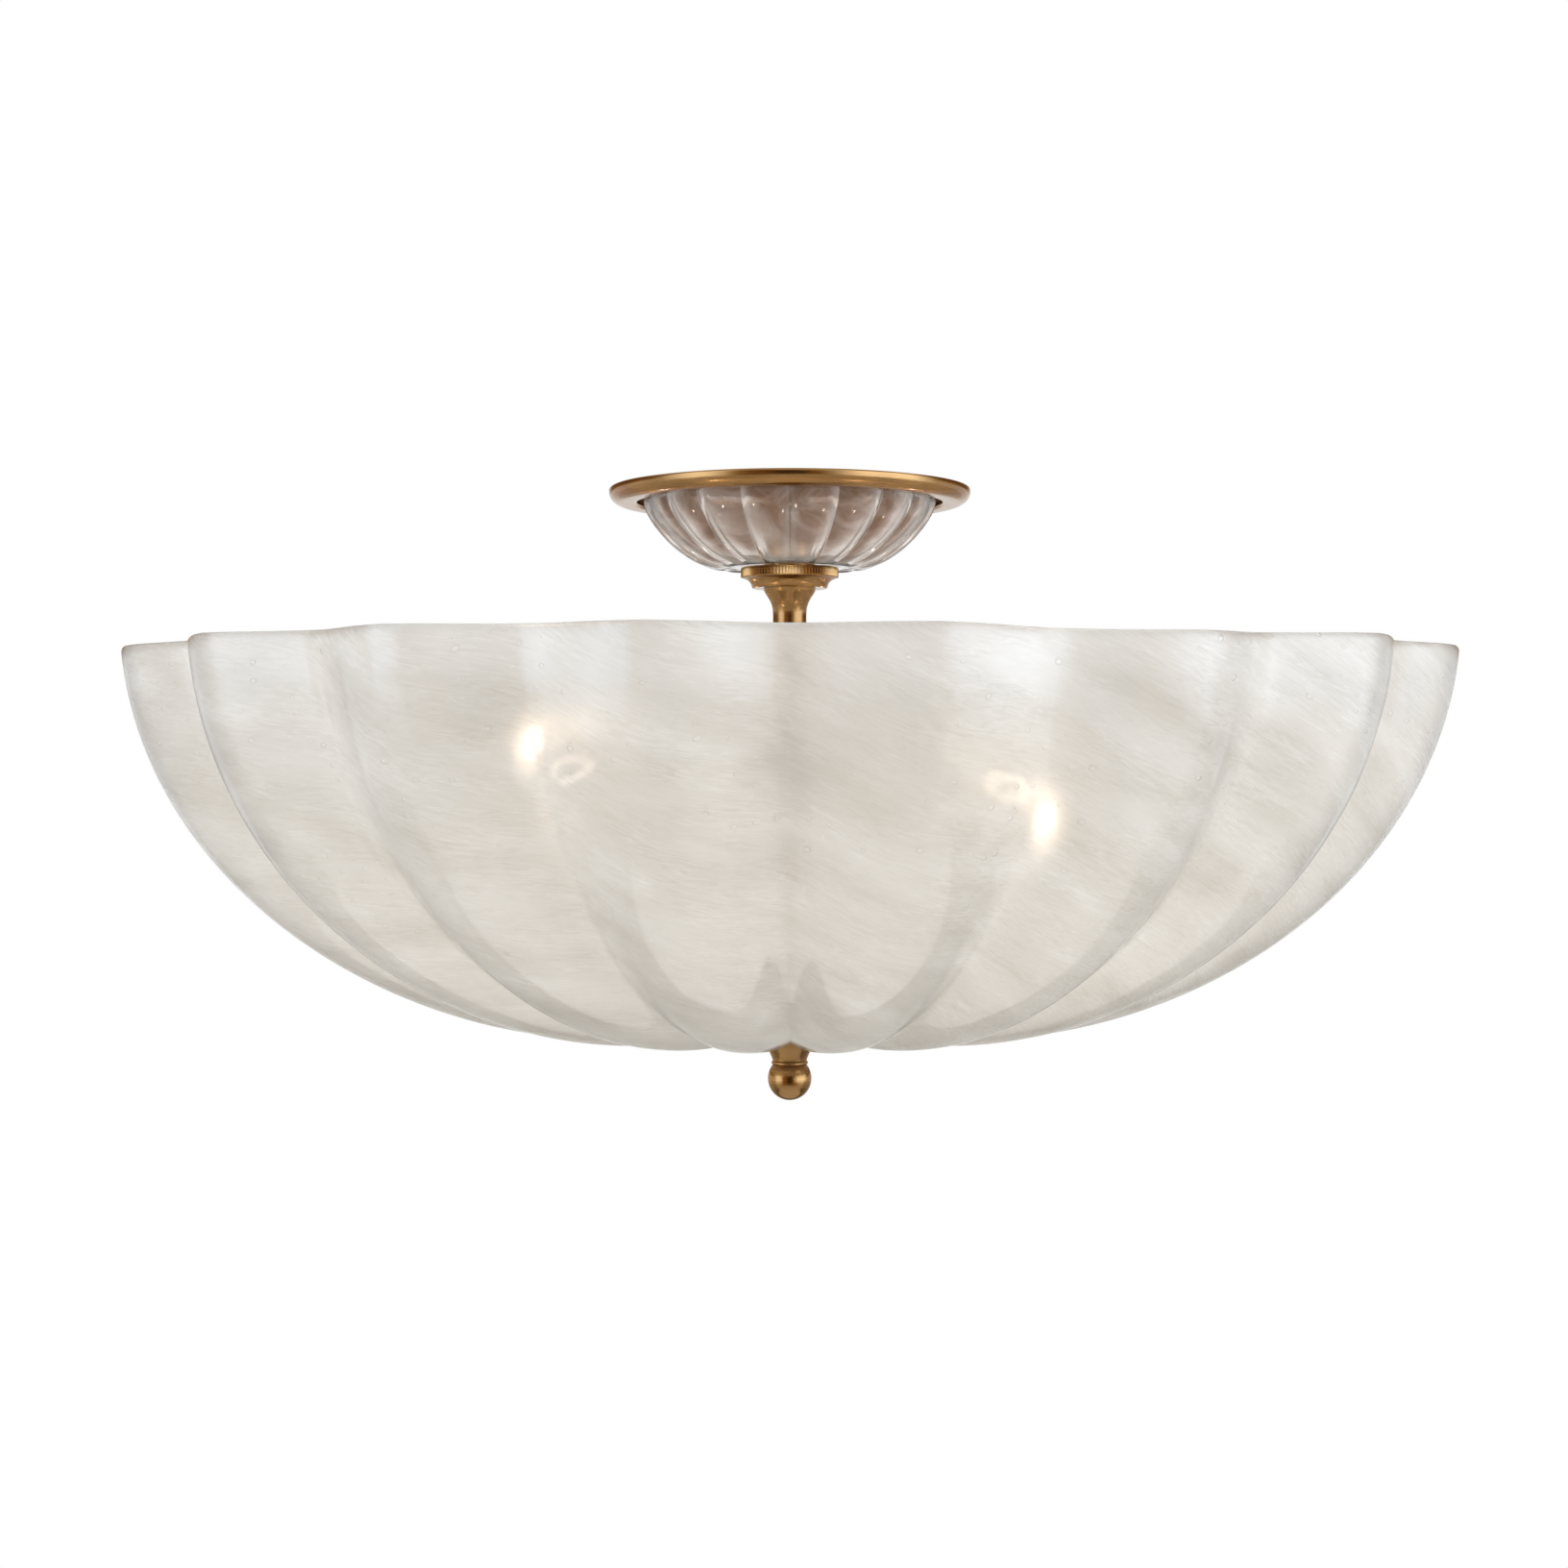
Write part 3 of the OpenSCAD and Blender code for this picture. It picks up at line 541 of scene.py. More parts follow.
def streaked_glass(name, light, shade):
    """Milky soda glass, blown: wisps drawn out by the blowing, seed bubbles with a painted highlight and
    painted shade, and a fire-polished skin.
    """
    material, tree = new_material(name)
    # Each pattern: length and thickness in mm, slope, detail, roughness, distortion, and the part used
    patterns = {
        "wisps": (12, 2.6, 0.45, 6.0, 0.6, 2.4, 0.3, 0.7),
        "threads": (8, 1.0, 0.5, 2.0, 0.5, 2.6, 0.55, 0.8),
        "clouds": (48, 22, 0.5, 4.0, 0.5, 0.8, 0.3, 0.7),
        "calm": (30, 16, 0.3, 2.0, 0.5, 1.2, 0.6, 0.35),
    }
    raw, parts = {}, {}
    for key, (long_mm, thin_mm, slope, detail, rough, distortion, low, high) in patterns.items():
        place = blown_points(tree, long_mm, thin_mm, slope)
        raw[key] = add(
            tree, "TexNoise",
            {"Vector": place, "Scale": 1.0, "Detail": detail, "Roughness": rough, "Distortion": distortion},
        )
        parts[key] = add(tree, "MapRange", {"Value": raw[key], "From Min": low, "From Max": high})
    # Streaks show in patches, with calmer glass between them.
    streaks = add(tree, "Math", {0: parts["wisps"], 1: 0.5}, operation="MULTIPLY")
    streaks = add(tree, "Math", {0: parts["threads"], 1: 0.35, 2: streaks}, operation="MULTIPLY_ADD")
    lively = add(tree, "Math", {0: parts["calm"], 1: -0.7, 2: 1.0}, operation="MULTIPLY_ADD")
    streaks = add(tree, "Math", {0: streaks, 1: lively}, operation="MULTIPLY")
    streaks = add(tree, "Math", {0: parts["calm"], 1: 0.2, 2: streaks}, operation="MULTIPLY_ADD")
    white = add(tree, "Math", {0: parts["clouds"], 1: 0.35, 2: streaks}, operation="MULTIPLY_ADD")
    # Bubbles gather in the upper part of the bowl.
    height = round_stem(tree)[2]
    upper = add(tree, "MapRange", {"Value": height, "From Min": -0.19, "From Max": -0.12})
    painted_bubble_highlight, rim = (
        add(tree, "Math", {0: part, 1: upper}, operation="MULTIPLY") for part in bubble_highlight_and_shade(tree, 7, 1.0)
    )
    # Painted highlight and shade of the bubbles: their middles are painted lighter and their rims darker;
    # the rims also raise the relief.
    marked = add(tree, "Math", {0: painted_bubble_highlight, 1: 1.8, 2: white}, operation="MULTIPLY_ADD")
    marked = add(tree, "Math", {0: rim, 1: -0.7, 2: marked}, operation="MULTIPLY_ADD")
    colours = {6: colour4(shade), 7: colour4(light)}
    colour = add(tree, "Mix", {"Factor": marked, **colours}, data_type="RGBA").outputs[2]
    swell = add(tree, "TexNoise", {"Vector": object_points(tree, 34, 34, 34), "Scale": 1.0, "Detail": 1.0})
    relief = add(tree, "Math", {0: swell, 1: 2.0}, operation="MULTIPLY")
    relief = add(tree, "Math", {0: rim, 1: 0.8, 2: relief}, operation="MULTIPLY_ADD")
    relief = add(tree, "Math", {0: raw["wisps"], 1: 0.03, 2: relief}, operation="MULTIPLY_ADD")
    normal = add(tree, "Bump", {"Height": relief, "Strength": 0.5, "Distance": 0.5 * MM})
    body = add(
        tree, "BsdfPrincipled",
        {"Base Color": colour, "Roughness": 0.5, "Specular IOR Level": 0.0, "Normal": normal},
    )
    glow = add(tree, "BsdfTranslucent", {"Color": colour, "Normal": normal})
    milky = add(tree, "MixShader", {"Fac": 0.5, 1: body, 2: glow})
    # The clear part has two skins: one scatters the light of the bulbs, and one shows them nearly sharp.
    tint = add(tree, "Math", {0: white, 1: 0.2}, operation="ADD")
    skin = add(
        tree, "Mix", {"Factor": tint, 6: colour4(shade), 7: (1, 1, 1, 1)}, data_type="RGBA"
    ).outputs[2]
    soft, sharp = (
        add(tree, "BsdfRefraction", {"Color": skin, "Roughness": rough, "IOR": ior, "Normal": normal})
        for rough, ior in ((0.4, 1.2), (0.12, 1.08))
    )
    clear = add(tree, "MixShader", {"Fac": 0.33, 1: soft, 2: sharp})
    # Less white in the wisps lets more through, and at its edges the clear skin shows alone.
    edge = add(tree, "LayerWeight", {"Blend": 0.5}).outputs["Facing"]
    edge = add(tree, "Math", {0: edge, 1: 4.0}, operation="POWER")
    share = add(
        tree, "MapRange",
        {"Value": white, "From Min": 0.1, "From Max": 0.8, "To Min": 0.66, "To Max": 0.36},
    )
    share = add(tree, "Math", {0: edge, 1: 0.25, 2: share}, operation="MULTIPLY_ADD")
    wall = add(tree, "MixShader", {"Fac": share, 1: milky, 2: clear})
    # The fire polish mirrors outside only, so that the inner faces of the wall don't mirror twice.
    mirror = add(tree, "BsdfGlossy", {"Roughness": 0.03, "Normal": normal})
    polish = add(tree, "Fresnel", {"IOR": 1.5, "Normal": normal})
    inside = add(tree, "NewGeometry").outputs["Backfacing"]
    outside = add(tree, "Math", {0: 1.0, 1: inside}, operation="SUBTRACT")
    polish = add(tree, "Math", {0: polish, 1: outside}, operation="MULTIPLY")
    shader = add(tree, "MixShader", {"Fac": polish, 1: wall, 2: mirror})
    add(tree, "OutputMaterial", {"Surface": shader})
    return material


def taupe_glass(name, light, shade):
    """Cased taupe glass, mould blown: marbled white wisps under a heavy clear skin, and a painted sheen
    that turns it paler where it is seen at a slant.
    """
    material, tree = new_material(name)
    wisps = add(
        tree, "TexNoise",
        {"Vector": object_points(tree, 26, 26, 18), "Scale": 1.0, "Detail": 6.0, "Roughness": 0.55,
         "Distortion": 2.0},
    )
    # Painted sheen: the colour and the clear skin's tint turn paler where the wall is seen at a slant, and
    # more of the wall lets light through there.
    edge = add(tree, "LayerWeight", {"Blend": 0.5}).outputs["Facing"]
    painted_sheen_and_clear = add(tree, "Math", {0: edge, 1: 2.0}, operation="POWER")
    marble = add(tree, "MapRange", {"Value": wisps, "From Min": 0.4, "From Max": 1.2})
    white = add(tree, "Math", {0: painted_sheen_and_clear, 1: 3.4, 2: marble}, operation="MULTIPLY_ADD")
    colours = {6: colour4(shade), 7: colour4(light)}
    body = add(
        tree, "BsdfPrincipled",
        {"Base Color": add(tree, "Mix", {"Factor": white, **colours}, data_type="RGBA").outputs[2],
         "Normal": add(tree, "Bump", {"Height": wisps, "Strength": 0.15, "Distance": 0.5 * MM}),
         "Roughness": 0.05, "IOR": 1.5, "Coat Weight": 0.8, "Coat Roughness": 0.03},
    )
    tint = add(tree, "Math", {0: white, 1: 0.2}, operation="ADD")
    skin = add(
        tree, "Mix", {"Factor": tint, 6: colour4(shade), 7: (1, 1, 1, 1)}, data_type="RGBA"
    ).outputs[2]
    clear = add(tree, "BsdfRefraction", {"Color": skin, "Roughness": 0.08, "IOR": 1.08})
    # The colour lies in the outer skin: where light leaves the wall again it meets clear glass only.
    leaving = add(tree, "NewGeometry").outputs["Backfacing"]
    share = add(tree, "Math", {0: painted_sheen_and_clear, 1: 0.7, 2: 0.3}, operation="MULTIPLY_ADD")
    share = add(tree, "Math", {0: share, 1: leaving}, operation="MAXIMUM")
    shader = add(tree, "MixShader", {"Fac": share, 1: body, 2: clear})
    add(tree, "OutputMaterial", {"Surface": shader})
    return material


def bulb_glass(name, tint):
    """Thin blown bulb glass, hardly frosted: it shows itself by its gloss and a faint warm haze."""
    material, tree = new_material(name)
    haze = add(tree, "TexNoise", {"Vector": object_points(tree, 9, 9, 9), "Scale": 1.0, "Detail": 2.0})
    alpha = add(
        tree, "MapRange",
        {"Value": haze, "From Min": 0.3, "From Max": 0.7, "To Min": 0.05, "To Max": 0.1},
    )
    shader = add(
        tree, "BsdfPrincipled",
        {"Base Color": colour4(linear(tint)), "Roughness": 0.1, "IOR": 1.5, "Alpha": alpha},
    )
    add(tree, "OutputMaterial", {"Surface": shader})
    return material


def glowing(name, colour, strength):
    """Coiled tungsten wire at white heat, brighter in its turns than between them.

    The turns are drawn 0.6 mm apart, coarser than they are, so that they show."""
    material, tree = new_material(name)
    turns = add(tree, "TexNoise", {"Vector": object_points(tree, 0.6, 0.6, 0.6), "Scale": 1.0})
    tint = add(
        tree, "Mix", {"Factor": turns, 6: colour4(linear(colour)), 7: (1, 1, 1, 1)}, data_type="RGBA"
    ).outputs[2]
    shader = add(
        tree, "BsdfPrincipled",
        {"Base Color": tint, "Roughness": 0.5, "Emission Color": tint, "Emission Strength": strength},
    )
    add(tree, "OutputMaterial", {"Surface": shader})
    return material


_made = {}


def finish_named(name):
    """Each finish is made once, when a piece first asks for it."""
    if name not in _made:
        colours = bpy.context.scene.light_colours
        makers = {
            "brushed_brass": lambda: antique_brass(name, colours.brass, colours.brass_shade, 0.24),
            "dark_brass": lambda: antique_brass(name, linear("#b0823f"), linear("#865f2b"), 0.25),
            "zinc_steel": lambda: plated_steel(name, "#c2c4c6", "#a3a6a9", 0.35),
            "nickel_plate": lambda: plated_steel(name, "#d6d3cc", "#bcb8ae", 0.25),
            "green_screw": lambda: plated_steel(name, "#3f8a52", "#2d6a3c", 0.4),
            "rubber": lambda: moulded(name, "#3b3a39", "#2a2929", 0.7, 1.2),
            "porcelain": lambda: moulded(name, "#ece7dc", "#ded7c9", 0.18, 3.0),
            "streaked_glass": lambda: streaked_glass(name, colours.bowl_light, colours.bowl_shade),
            "taupe_glass": lambda: taupe_glass(name, colours.cup_light, colours.cup_shade),
            "bulb_glass": lambda: bulb_glass(name, "#fff0dc"),
            "hot_filament": lambda: glowing(name, "#ffdfb4", 32.0),
        }
        _made[name] = makers[name]()
    return _made[name]


# Pieces


class PieceOperator:
    """What the operators share: each can be undone and redone in one step."""

    bl_options = {"REGISTER", "UNDO"}


class LIGHT_OT_canopy_ring(PieceOperator, bpy.types.Operator):
    """Turned brass ring against the ceiling"""

    bl_idname = "ceiling_light.canopy_ring"
    bl_label = "Canopy Ring"

    def execute(self, context):
        outer_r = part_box("canopy_ring")[1].x
        low = heights_of("canopy_ring")[0]
        band_r = outer_r - 11 * MM
        opening_r = 53 * MM
        flange_z = -1.5 * MM
        edge_r = 1 * MM
        foot_r = 4.8 * MM
        inner_r = 1.2 * MM
        outline = [
            (opening_r, 0),
            *arc((outer_r - edge_r, -edge_r), edge_r, 90, 0, 8),
            *arc((outer_r - foot_r, low + foot_r), foot_r, 0, -90, 12),
            *arc((band_r + inner_r, low + inner_r), inner_r, -90, -180, 6),
            (band_r, flange_z),
            (opening_r, flange_z),
        ]
        ring = turned("turned_ring", outline, steps=192)
        finished(ring, "brushed_brass", "canopy", "brass", "canopy_ring")
        return {"FINISHED"}


class LIGHT_OT_canopy_glass(PieceOperator, bpy.types.Operator):
    """Fluted taupe glass of the canopy"""

    bl_idname = "ceiling_light.canopy_glass"
    bl_label = "Canopy Glass"

    def execute(self, context):
        sizes = context.scene.light_sizes
        rim_r, depth, foot_r = sizes.cup_rim_r, sizes.cup_depth, 24 * MM
        side = [(rim_r, 0), (rim_r - 0.5 * MM, -10 * MM), (36.7 * MM, -depth), (foot_r, -depth)]
        rim_z = heights_of("rim_gasket")[0]
        glass = scalloped_shell(
            "fluted_glass", side, sizes.cup_flutes, sizes.cup_flute_h, 3, sizes.cup_wall, rim_z,
            flat_r=22.5 * MM, hole_r=11 * MM, per_lobe=14, down=36, lip=0.2,
        )
        finished(glass, "taupe_glass", "canopy", "taupe_glass", "canopy_glass")
        return {"FINISHED"}


class LIGHT_OT_collar(PieceOperator, bpy.types.Operator):
    """Knurled brass collar under the canopy glass"""

    bl_idname = "ceiling_light.collar"
    bl_label = "Knurled Collar"

    def execute(self, context):
        sizes = context.scene.light_sizes
        low, top = heights_of("knurled_collar")
        # The glass rests on the washer in the recess, a hair above the collar's rim.
        top -= 0.05 * MM
        band_r = 18.9 * MM
        band_low = top - 3.9 * MM
        foot_h = band_low - low
        foot_r = 14.7 * MM
        bore_r = 10.3 * MM
        recess_r = 17.0 * MM
        recess_z = top - 1 * MM
        lip = 0.35 * MM
        outline = [
            (recess_r, top),
            (band_r - lip, top),
            (band_r, top - lip),
            (band_r, band_low + lip),
            *curve_points([
                (band_r - lip, band_low), (band_r - 2.4 * MM, band_low - foot_h * 0.12),
                (foot_r + 0.5 * MM, band_low - foot_h * 0.3), (foot_r, low + 0.4 * MM),
            ]),
            (foot_r - 0.4 * MM, low),
            (bore_r, low),
            (bore_r, recess_z),
            (recess_r, recess_z),
        ]
        collar = turned("knurled_ring", outline, steps=2 * sizes.knurl_teeth)
        # Every other column of the band is pressed in, which leaves sharp upright teeth.
        for vertex in collar.data.vertices:
            r = math.hypot(vertex.co.x, vertex.co.y)
            column = round(math.atan2(vertex.co.y, vertex.co.x) / math.tau * 2 * sizes.knurl_teeth)
            if abs(r - band_r) < 0.01 * MM and column % 2:
                vertex.co.x *= 1 - sizes.knurl_depth / r
                vertex.co.y *= 1 - sizes.knurl_depth / r
        smooth(collar, 28)
        finished(collar, "brushed_brass", "collar", "brass", "knurled_collar")
        return {"FINISHED"}


class LIGHT_OT_stem(PieceOperator, bpy.types.Operator):
    """Flared neck and the stem tube"""

    bl_idname = "ceiling_light.stem"
    bl_label = "Neck and Stem"

    def execute(self, context):
        low, top = heights_of("neck")
        boss_r, stem_r, bore_r = 10 * MM, 6.5 * MM, 4.95 * MM
        flare_z = low + 9.5 * MM
        flare_h = flare_z - low
        outline = [
            (bore_r, top), (boss_r - 0.8 * MM, top), (boss_r, top - 0.8 * MM),
            *curve_points([
                (boss_r, flare_z), (boss_r - 1.6 * MM, flare_z - flare_h * 0.3),
                (stem_r, flare_z - flare_h * 0.45), (stem_r, low),
            ], 20),
            (bore_r, low),
        ]
        neck = turned("flared_neck", outline)
        finished(neck, "brushed_brass", "root", "brass", "neck")
        pipe_r, pipe_bore_r = 4.8 * MM, 3.0 * MM
        tube_low, tube_high = heights_of("stem_tube")
        shoulder_z = heights_of("cluster_cap")[1]
        tube = turned("stem_pipe", [
            (pipe_bore_r, tube_high), (pipe_r, tube_high), (pipe_r, low), (stem_r, low),
            (stem_r, shoulder_z), (pipe_r, shoulder_z), (pipe_r, tube_low), (pipe_bore_r, tube_low),
        ])
        finished(tube, "brushed_brass", "root", "brass", "stem_tube")
        return {"FINISHED"}


class LIGHT_OT_bowl(PieceOperator, bpy.types.Operator):
    """Scalloped streaked glass bowl with its washers"""

    bl_idname = "ceiling_light.bowl"
    bl_label = "Glass Bowl"

    def execute(self, context):
        sizes = context.scene.light_sizes
        rim_r, depth, foot_r = sizes.bowl_rim_r, sizes.bowl_depth, 51 * MM
        side = [(rim_r, 0), (rim_r - 7.5 * MM, -84 * MM), (140 * MM, -depth), (foot_r, -depth)]
        rim_z = heights_of("outer_washer")[1] + depth
        bowl = scalloped_shell(
            "blown_bowl", side, sizes.bowl_lobes, sizes.bowl_lobe_h, 1.65, sizes.bowl_wall, rim_z,
            flat_r=20 * MM, hole_r=6 * MM, per_lobe=18, down=64, crease=0.1, rim_crease=0.6, sag=0.5 * MM,
        )
        finished(bowl, "streaked_glass", "bowl", "strie_glass", "bowl_glass")
        for washer in ("outer_washer", "inner_washer"):
            dressed_copy(washer, "rubber", "rubber")
        return {"FINISHED"}


class LIGHT_OT_finial(PieceOperator, bpy.types.Operator):
    """Turned ball finial under the bowl"""

    bl_idname = "ceiling_light.finial"
    bl_label = "Finial"

    def execute(self, context):
        top = heights_of("finial")[1]
        flange_r, waist_r, ball_r = 10.5 * MM, 6.65 * MM, 8.5 * MM
        neck_h, bead_h, rim_t = 10.6 * MM, 1.6 * MM, 1.2 * MM
        waist_z = top - neck_h
        ball_z = waist_z - bead_h - math.sqrt(ball_r**2 - waist_r**2)
        ball_turn = math.degrees(math.asin(waist_r / ball_r))
        bore_r, bore_h = 4.88 * MM, 10.5 * MM
        outline = [
            (0, top - bore_h), (bore_r, top - bore_h), (bore_r, top),
            (flange_r, top), (flange_r, top - rim_t),
            *curve_points([
                (flange_r - 0.6 * MM, top - rim_t - 0.3 * MM),
                (flange_r - 1.2 * MM, top - neck_h * 0.54),
                (waist_r + 0.4 * MM, top - neck_h * 0.78), (waist_r, waist_z),
            ], 14),
            *arc((waist_r - 0.3 * MM, waist_z - bead_h / 2), bead_h / 2, 80, -80, 8),
            *arc((0, ball_z), ball_r, 90 - ball_turn, -90, 26),
        ]
        finial = turned("ball_finial", outline)
        finished(finial, "dark_brass", "finial", "dark_brass", "finial")
        return {"FINISHED"}


class LIGHT_OT_cluster(PieceOperator, bpy.types.Operator):
    """Lamp cluster, its rod, nuts and the seat inside the bowl"""

    bl_idname = "ceiling_light.cluster"
    bl_label = "Lamp Cluster"

    def execute(self, context):
        for node in ("cluster_cap", "cluster_body", "rod_hub_nut", "seat_nut", "bowl_seat"):
            dressed_copy(node, "brushed_brass", "brass", soften=0.25 * MM)
        dressed_copy("lower_rod", "dark_brass", "dark_brass")
        for node in ("stem_locknut", "rod_locknut", "arm_nipples", "arm_locknuts"):
            dressed_copy(node, "zinc_steel", "steel")
        return {"FINISHED"}


class LIGHT_OT_lampholders(PieceOperator, bpy.types.Operator):
    """Porcelain lampholders with screw shells and contacts"""

    bl_idname = "ceiling_light.lampholders"
    bl_label = "Lampholders"

    def execute(self, context):
        for n in LAMPS:
            dressed_copy(f"lampholder_{n}", "porcelain", "porcelain", soften=0.3 * MM)
            dressed_copy(f"screw_shell_{n}", "brushed_brass", "brass")
            dressed_copy(f"centre_contact_{n}", "brushed_brass", "brass")
        return {"FINISHED"}


# Distance of a filament mount's foot from the stem, and how far the mount of each lamp tips up, in
# degrees: the glows of the two front lamps are not level in the photograph.
MOUNT_FOOT = 66 * MM
MOUNT_TIPS = (-3, 4, 12, -13)


class LIGHT_OT_bulbs(PieceOperator, bpy.types.Operator):
    """Lit bulbs with their screw bases, mounts and filaments"""

    bl_idname = "ceiling_light.bulbs"
    bl_label = "Bulbs"

    def execute(self, context):
        post, wire = self.mount(), self.filament()
        for n in LAMPS:
            dressed_copy(f"bulb_base_{n}", "nickel_plate", "nickel", soften=0.2 * MM)
            dressed_copy(f"bulb_glass_{n}", "bulb_glass", "opal_glass")
            self.fit(post, f"bulb_mount_{n}", n, "bulb_glass", "opal_glass")
            self.fit(wire, f"bulb_filament_{n}", n, "hot_filament", None)
        bpy.data.objects.remove(post)
        bpy.data.objects.remove(wire)
        return {"FINISHED"}

    def mount(self):
        """Glass stem that carries a filament, from the base to the middle of the ball, along +Z."""
        foot, tip, foot_r, tip_r = MOUNT_FOOT, 118 * MM, 6 * MM, 1.6 * MM
        outline = [
            (0, foot), (foot_r, foot),
            *curve_points([(foot_r, foot + 2 * MM), (foot_r, foot + 10 * MM), (tip_r, foot + 8 * MM),
                           (tip_r, tip - tip_r)], 10),
            *arc((0, tip - tip_r), tip_r, 10, 90, 6),
        ]
        return turned("filament_mount", outline, steps=24)

    def filament(self):
        """A ring of coiled wire, not quite closed, over the tip of the mount.

        The coil is drawn thicker than it is, so that its glow shows through the bowl."""
        ring_r, wire_r, out, closed = 4.6 * MM, 1.3 * MM, 128 * MM, math.radians(300)
        deselect()
        bpy.ops.mesh.primitive_circle_add(
            vertices=12, radius=wire_r, fill_type="NGON", location=(ring_r, 0, out),
            rotation=(math.pi / 2, 0, 0),
        )
        wire = bpy.context.active_object
        wire.name = wire.data.name = "filament_wire"
        rest_at_origin(wire)
        with all_in_edit_mode(wire):
            bpy.ops.mesh.spin(steps=40, angle=closed, center=(0, 0, out), axis=(0, 0, 1))
            bpy.ops.mesh.select_all(action="SELECT")
            bpy.ops.mesh.normals_make_consistent(inside=False)
        smooth(wire, 40)
        return wire

    def fit(self, made, name, n, finish, slot):
        """Lays a copy of a piece made along +Z on the arm of lamp n, tipped about the mount's foot."""
        piece = made.copy()
        piece.data = made.data.copy()
        piece.name = piece.data.name = name
        bpy.context.scene.collection.objects.link(piece)
        tip = math.radians(MOUNT_TIPS[n - 1])
        for vertex in piece.data.vertices:
            x, out = vertex.co.x, vertex.co.z - MOUNT_FOOT
            vertex.co.x = x * math.cos(tip) - out * math.sin(tip)
            vertex.co.z = x * math.sin(tip) + out * math.cos(tip) + MOUNT_FOOT
        piece.rotation_euler = (0, math.pi / 2, math.radians(45 + 90 * (n - 1)))
        piece.location.z = sum(heights_of(f"bulb_glass_{n}")) / 2
        finished(piece, finish, f"bulb_{n}", slot)


class LIGHT_OT_mounting(PieceOperator, bpy.types.Operator):
    """Mounting strap, nipple, nuts, gasket and washer inside the canopy"""

    bl_idname = "ceiling_light.mounting"
    bl_label = "Mounting Hardware"

    def execute(self, context):
        for node in ("mounting_strap", "strap_nipple", "strap_locknut"):
            dressed_copy(node, "zinc_steel", "steel", soften=0.2 * MM)
        dressed_copy("neck_locknut", "brushed_brass", "brass", soften=0.2 * MM)
        dressed_copy("earth_screw", "green_screw", "green_paint", soften=0.2 * MM)
        dressed_copy("rim_gasket", "rubber", "rubber")
        dressed_copy("collar_washer", "rubber", "rubber")
        return {"FINISHED"}


# Where the photograph was taken from: level with a point on the stem, and a little to its left.
CAMERA_DISTANCE = 1.013
CAMERA_HEIGHT = -0.1142
CAMERA_SIDE = -0.0022
CAMERA_LENS_MM = 60.0
CAMERA_SENSOR_MM = 36.0
FLOOR_DROP = 2.3
FLOOR_RADIUS = 3.0
# What the floor adds, for the rays that show the background, to the light that falls on it
FLOOR_LIFT = 0.32
# Soft lamps: place, width and height in metres, watts and colour
SOFT_LAMPS = (
    ("left_softbox", (-2.0, -1.2, 0.4), 0.8, 2.4, 28, "#f1f5fc"),
    ("right_softbox", (2.0, -1.2, 0.4), 0.8, 2.4, 49, "#f1f5fc"),
    ("top_softbox", (0.0, 0.3, 2.0), 2.4, 2.4, 25, "#f4f5f6"),
    ("low_fill", (0.0, -0.6, -1.9), 2.2, 2.2, 14.5, "#ffe6c8"),
)
LAMP_AIM = Vector((0, 0, -0.1))
# What brass and the polish of the glass mirror: turn of the middle from the front and width in degrees,
# distance, lowest and highest point, strength, part of its width that fades out, colours at foot and top
REFLECTED_WALLS = (
    ("dark_stand", 0, 28, 2.7, -1.9, 0.9, 1.0, 0.3, "#2c1a0a", "#2c1a0a"),
    ("wall_behind_camera", 0, 104, 2.9, -2.2, 1.9, 1.0, 0.25, "#a67a48", "#a67a48"),
    ("wall_right", 122, 84, 2.9, -0.1, 2.4, 1.0, 0.3, "#8f6a40", "#8f6a40"),
    ("wall_left", -122, 84, 2.9, -0.1, 2.4, 1.0, 0.3, "#8f6a40", "#8f6a40"),
    ("bright_right", 62, 84, 2.4, -1.2, 2.6, 4.2, 0.6, "#dcebfd", "#dcebfd"),
    ("bright_left", -60, 52, 2.4, -1.2, 2.6, 3.7, 0.6, "#dcebfd", "#dcebfd"),
    ("low_backdrop", 180, 200, 1.05, -1.55, -0.43, 1.0, 0.01, "#34332e", "#e2dfd6"),
)


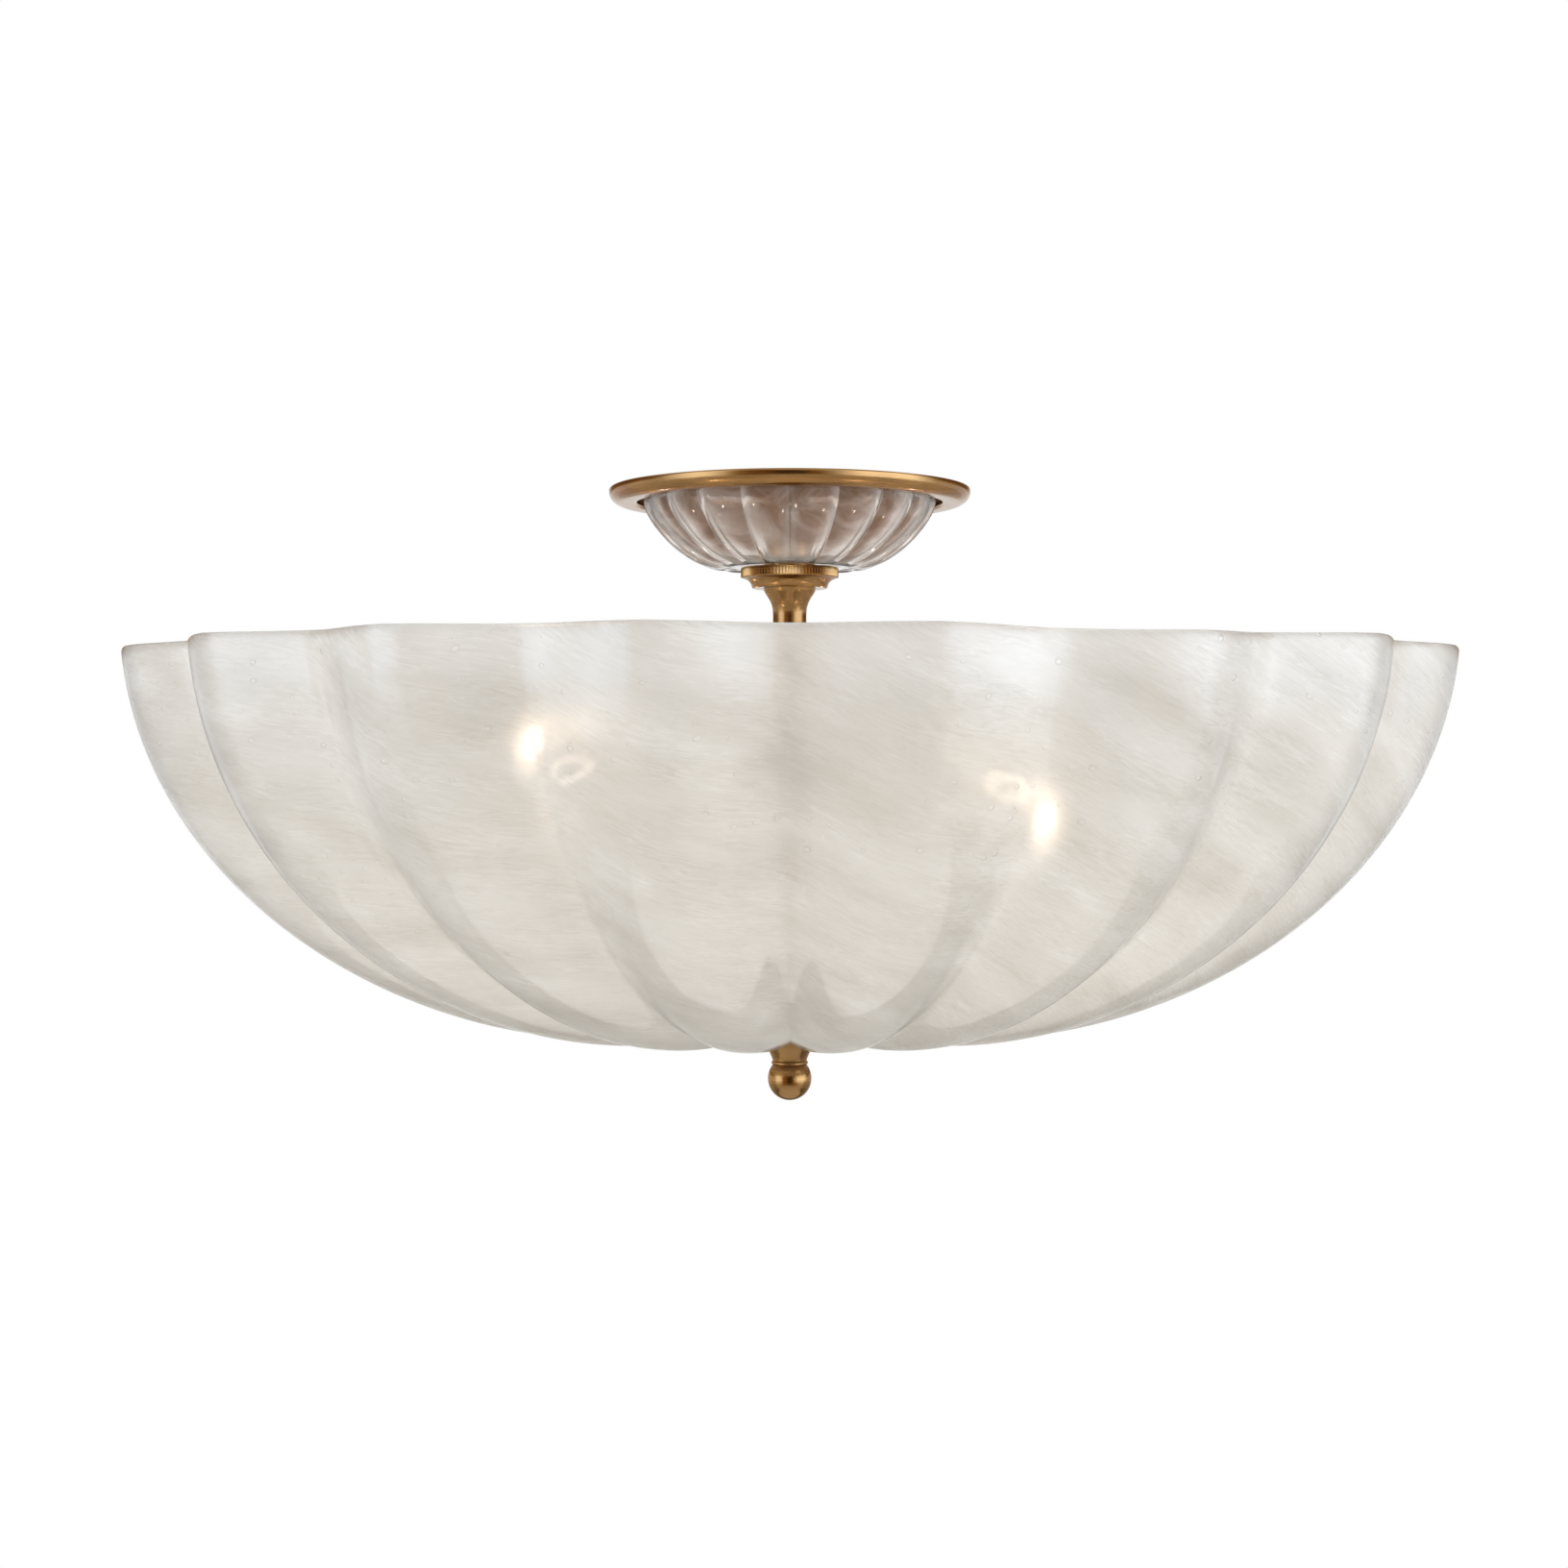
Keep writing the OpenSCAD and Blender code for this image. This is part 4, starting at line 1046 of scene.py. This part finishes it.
class LIGHT_OT_studio(PieceOperator, bpy.types.Operator):
    """Camera, soft lamps, pale floor and white surroundings"""

    bl_idname = "ceiling_light.studio"
    bl_label = "Studio"

    def execute(self, context):
        self.camera(context.scene)
        self.floor()
        for lamp in SOFT_LAMPS:
            self.lamp(*lamp)
        for wall in REFLECTED_WALLS:
            self.wall(*wall)
        self.surroundings(context.scene)
        context.scene.view_settings.view_transform = "Standard"
        return {"FINISHED"}

    def camera(self, scene):
        bpy.ops.object.camera_add(
            location=(CAMERA_SIDE, -CAMERA_DISTANCE, CAMERA_HEIGHT), rotation=(math.pi / 2, 0, 0)
        )
        camera = bpy.context.active_object
        camera.name = "view_camera"
        camera.data.lens = CAMERA_LENS_MM
        camera.data.sensor_width = CAMERA_SENSOR_MM
        camera.data.clip_start = 0.01
        scene.camera = camera

    def floor(self):
        bpy.ops.mesh.primitive_circle_add(
            vertices=96, radius=FLOOR_RADIUS, fill_type="NGON", location=(0, 0, -FLOOR_DROP)
        )
        floor = bpy.context.active_object
        floor.name = "pale_floor"
        rest_at_origin(floor)
        floor.data.materials.append(painted_floor("pale_floor", "#f4f3f0", "#efeeeb"))

    def wall(self, name, middle, width, radius, low, high, strength, fade, foot, top):
        """A curved wall round the light that only metal and polished glass mirror."""
        middle, half = math.radians(middle), math.radians(width) / 2
        centre_z, half_z = (high + low) / 2, (high - low) / 2
        bpy.ops.mesh.primitive_grid_add(x_subdivisions=24, y_subdivisions=1, size=2)
        wall = bpy.context.active_object
        wall.name = name
        for vertex in wall.data.vertices:
            turn = vertex.co.x * half
            height = centre_z + vertex.co.y * half_z
            vertex.co = (radius * math.sin(turn), -radius * math.cos(turn), height)
        material, tree = new_material(name)
        turn, _, height = round_stem(tree)
        # It fades out towards its sides and, half as far, towards its top and foot.
        aside = add(tree, "Math", {0: turn}, operation="ABSOLUTE")
        aside = add(tree, "MapRange", {"Value": aside, "From Min": half, "From Max": half * (1 - fade)})
        above = add(tree, "Math", {0: height, 1: centre_z}, operation="SUBTRACT")
        above = add(tree, "Math", {0: above}, operation="ABSOLUTE")
        inner_z = half_z * (1 - fade / 2)
        above = add(tree, "MapRange", {"Value": above, "From Min": half_z, "From Max": inner_z})
        rise = add(tree, "MapRange", {"Value": height, "From Min": low, "From Max": high})
        ends = {6: colour4(linear(foot)), 7: colour4(linear(top))}
        shader = add(
            tree, "BsdfPrincipled",
            {"Base Color": (0, 0, 0, 1), "Roughness": 1.0, "Emission Strength": strength,
             "Emission Color": add(tree, "Mix", {"Factor": rise, **ends}, data_type="RGBA").outputs[2],
             "Alpha": add(tree, "Math", {0: aside, 1: above}, operation="MULTIPLY")},
        )
        add(tree, "OutputMaterial", {"Surface": shader})
        wall.rotation_euler.z = middle
        wall.data.materials.append(material)
        for rays in ("camera", "shadow", "diffuse", "transmission"):
            setattr(wall, "visible_" + rays, False)

    def lamp(self, name, place, width, height, power, colour):
        bpy.ops.object.light_add(type="AREA", location=place)
        lamp = bpy.context.active_object
        lamp.name = name
        lamp.data.shape = "RECTANGLE"
        lamp.data.size, lamp.data.size_y = width, height
        lamp.data.energy = power
        lamp.data.color = linear(colour)
        lamp.visible_camera = False
        lamp.visible_glossy = False
        aim = LAMP_AIM - Vector(place)
        lamp.rotation_mode = "QUATERNION"
        lamp.rotation_quaternion = aim.to_track_quat("-Z", "Y")

    def surroundings(self, scene):
        """White to the camera, to mirrors and through glass; softer where it lights the light."""
        world = bpy.data.worlds.new("white_room")
        scene.world = world
        world.use_nodes = True
        tree = world.node_tree
        tree.nodes.clear()
        white = add(tree, "Background", {"Color": (1, 1, 1, 1), "Strength": 1.0})
        soft = add(tree, "Background", {"Color": colour4(linear("#f4f5f6")), "Strength": 0.4})
        both = add(tree, "MixShader", {"Fac": background_rays(tree), 1: soft, 2: white})
        add(tree, "OutputWorld", {"Surface": both})


PIECES = (
    LIGHT_OT_canopy_ring, LIGHT_OT_canopy_glass, LIGHT_OT_collar, LIGHT_OT_stem, LIGHT_OT_bowl,
    LIGHT_OT_finial, LIGHT_OT_cluster, LIGHT_OT_lampholders, LIGHT_OT_bulbs, LIGHT_OT_mounting,
    LIGHT_OT_studio,
)


class LIGHT_PT_panel(bpy.types.Panel):
    """Lists the light's pieces in the sidebar"""

    bl_idname = "LIGHT_PT_panel"
    bl_label = "Ceiling Light"
    bl_space_type = "VIEW_3D"
    bl_region_type = "UI"
    bl_category = "Ceiling Light"

    def draw(self, context):
        for piece in PIECES:
            self.layout.operator(piece.bl_idname)
        for group in (context.scene.light_sizes, context.scene.light_colours):
            for name in group.__annotations__:
                self.layout.prop(group, name)


CLASSES = (LightSizes, LightColours, *PIECES, LIGHT_PT_panel)


def register():
    for cls in CLASSES:
        bpy.utils.register_class(cls)
    bpy.types.Scene.light_sizes = PointerProperty(type=LightSizes)
    bpy.types.Scene.light_colours = PointerProperty(type=LightColours)


def unregister():
    del bpy.types.Scene.light_colours
    del bpy.types.Scene.light_sizes
    for cls in reversed(CLASSES):
        bpy.utils.unregister_class(cls)


def main():
    register()
    for piece in PIECES:
        group, name = piece.bl_idname.split(".")
        getattr(getattr(bpy.ops, group), name)()


if __name__ == "__main__":
    main()
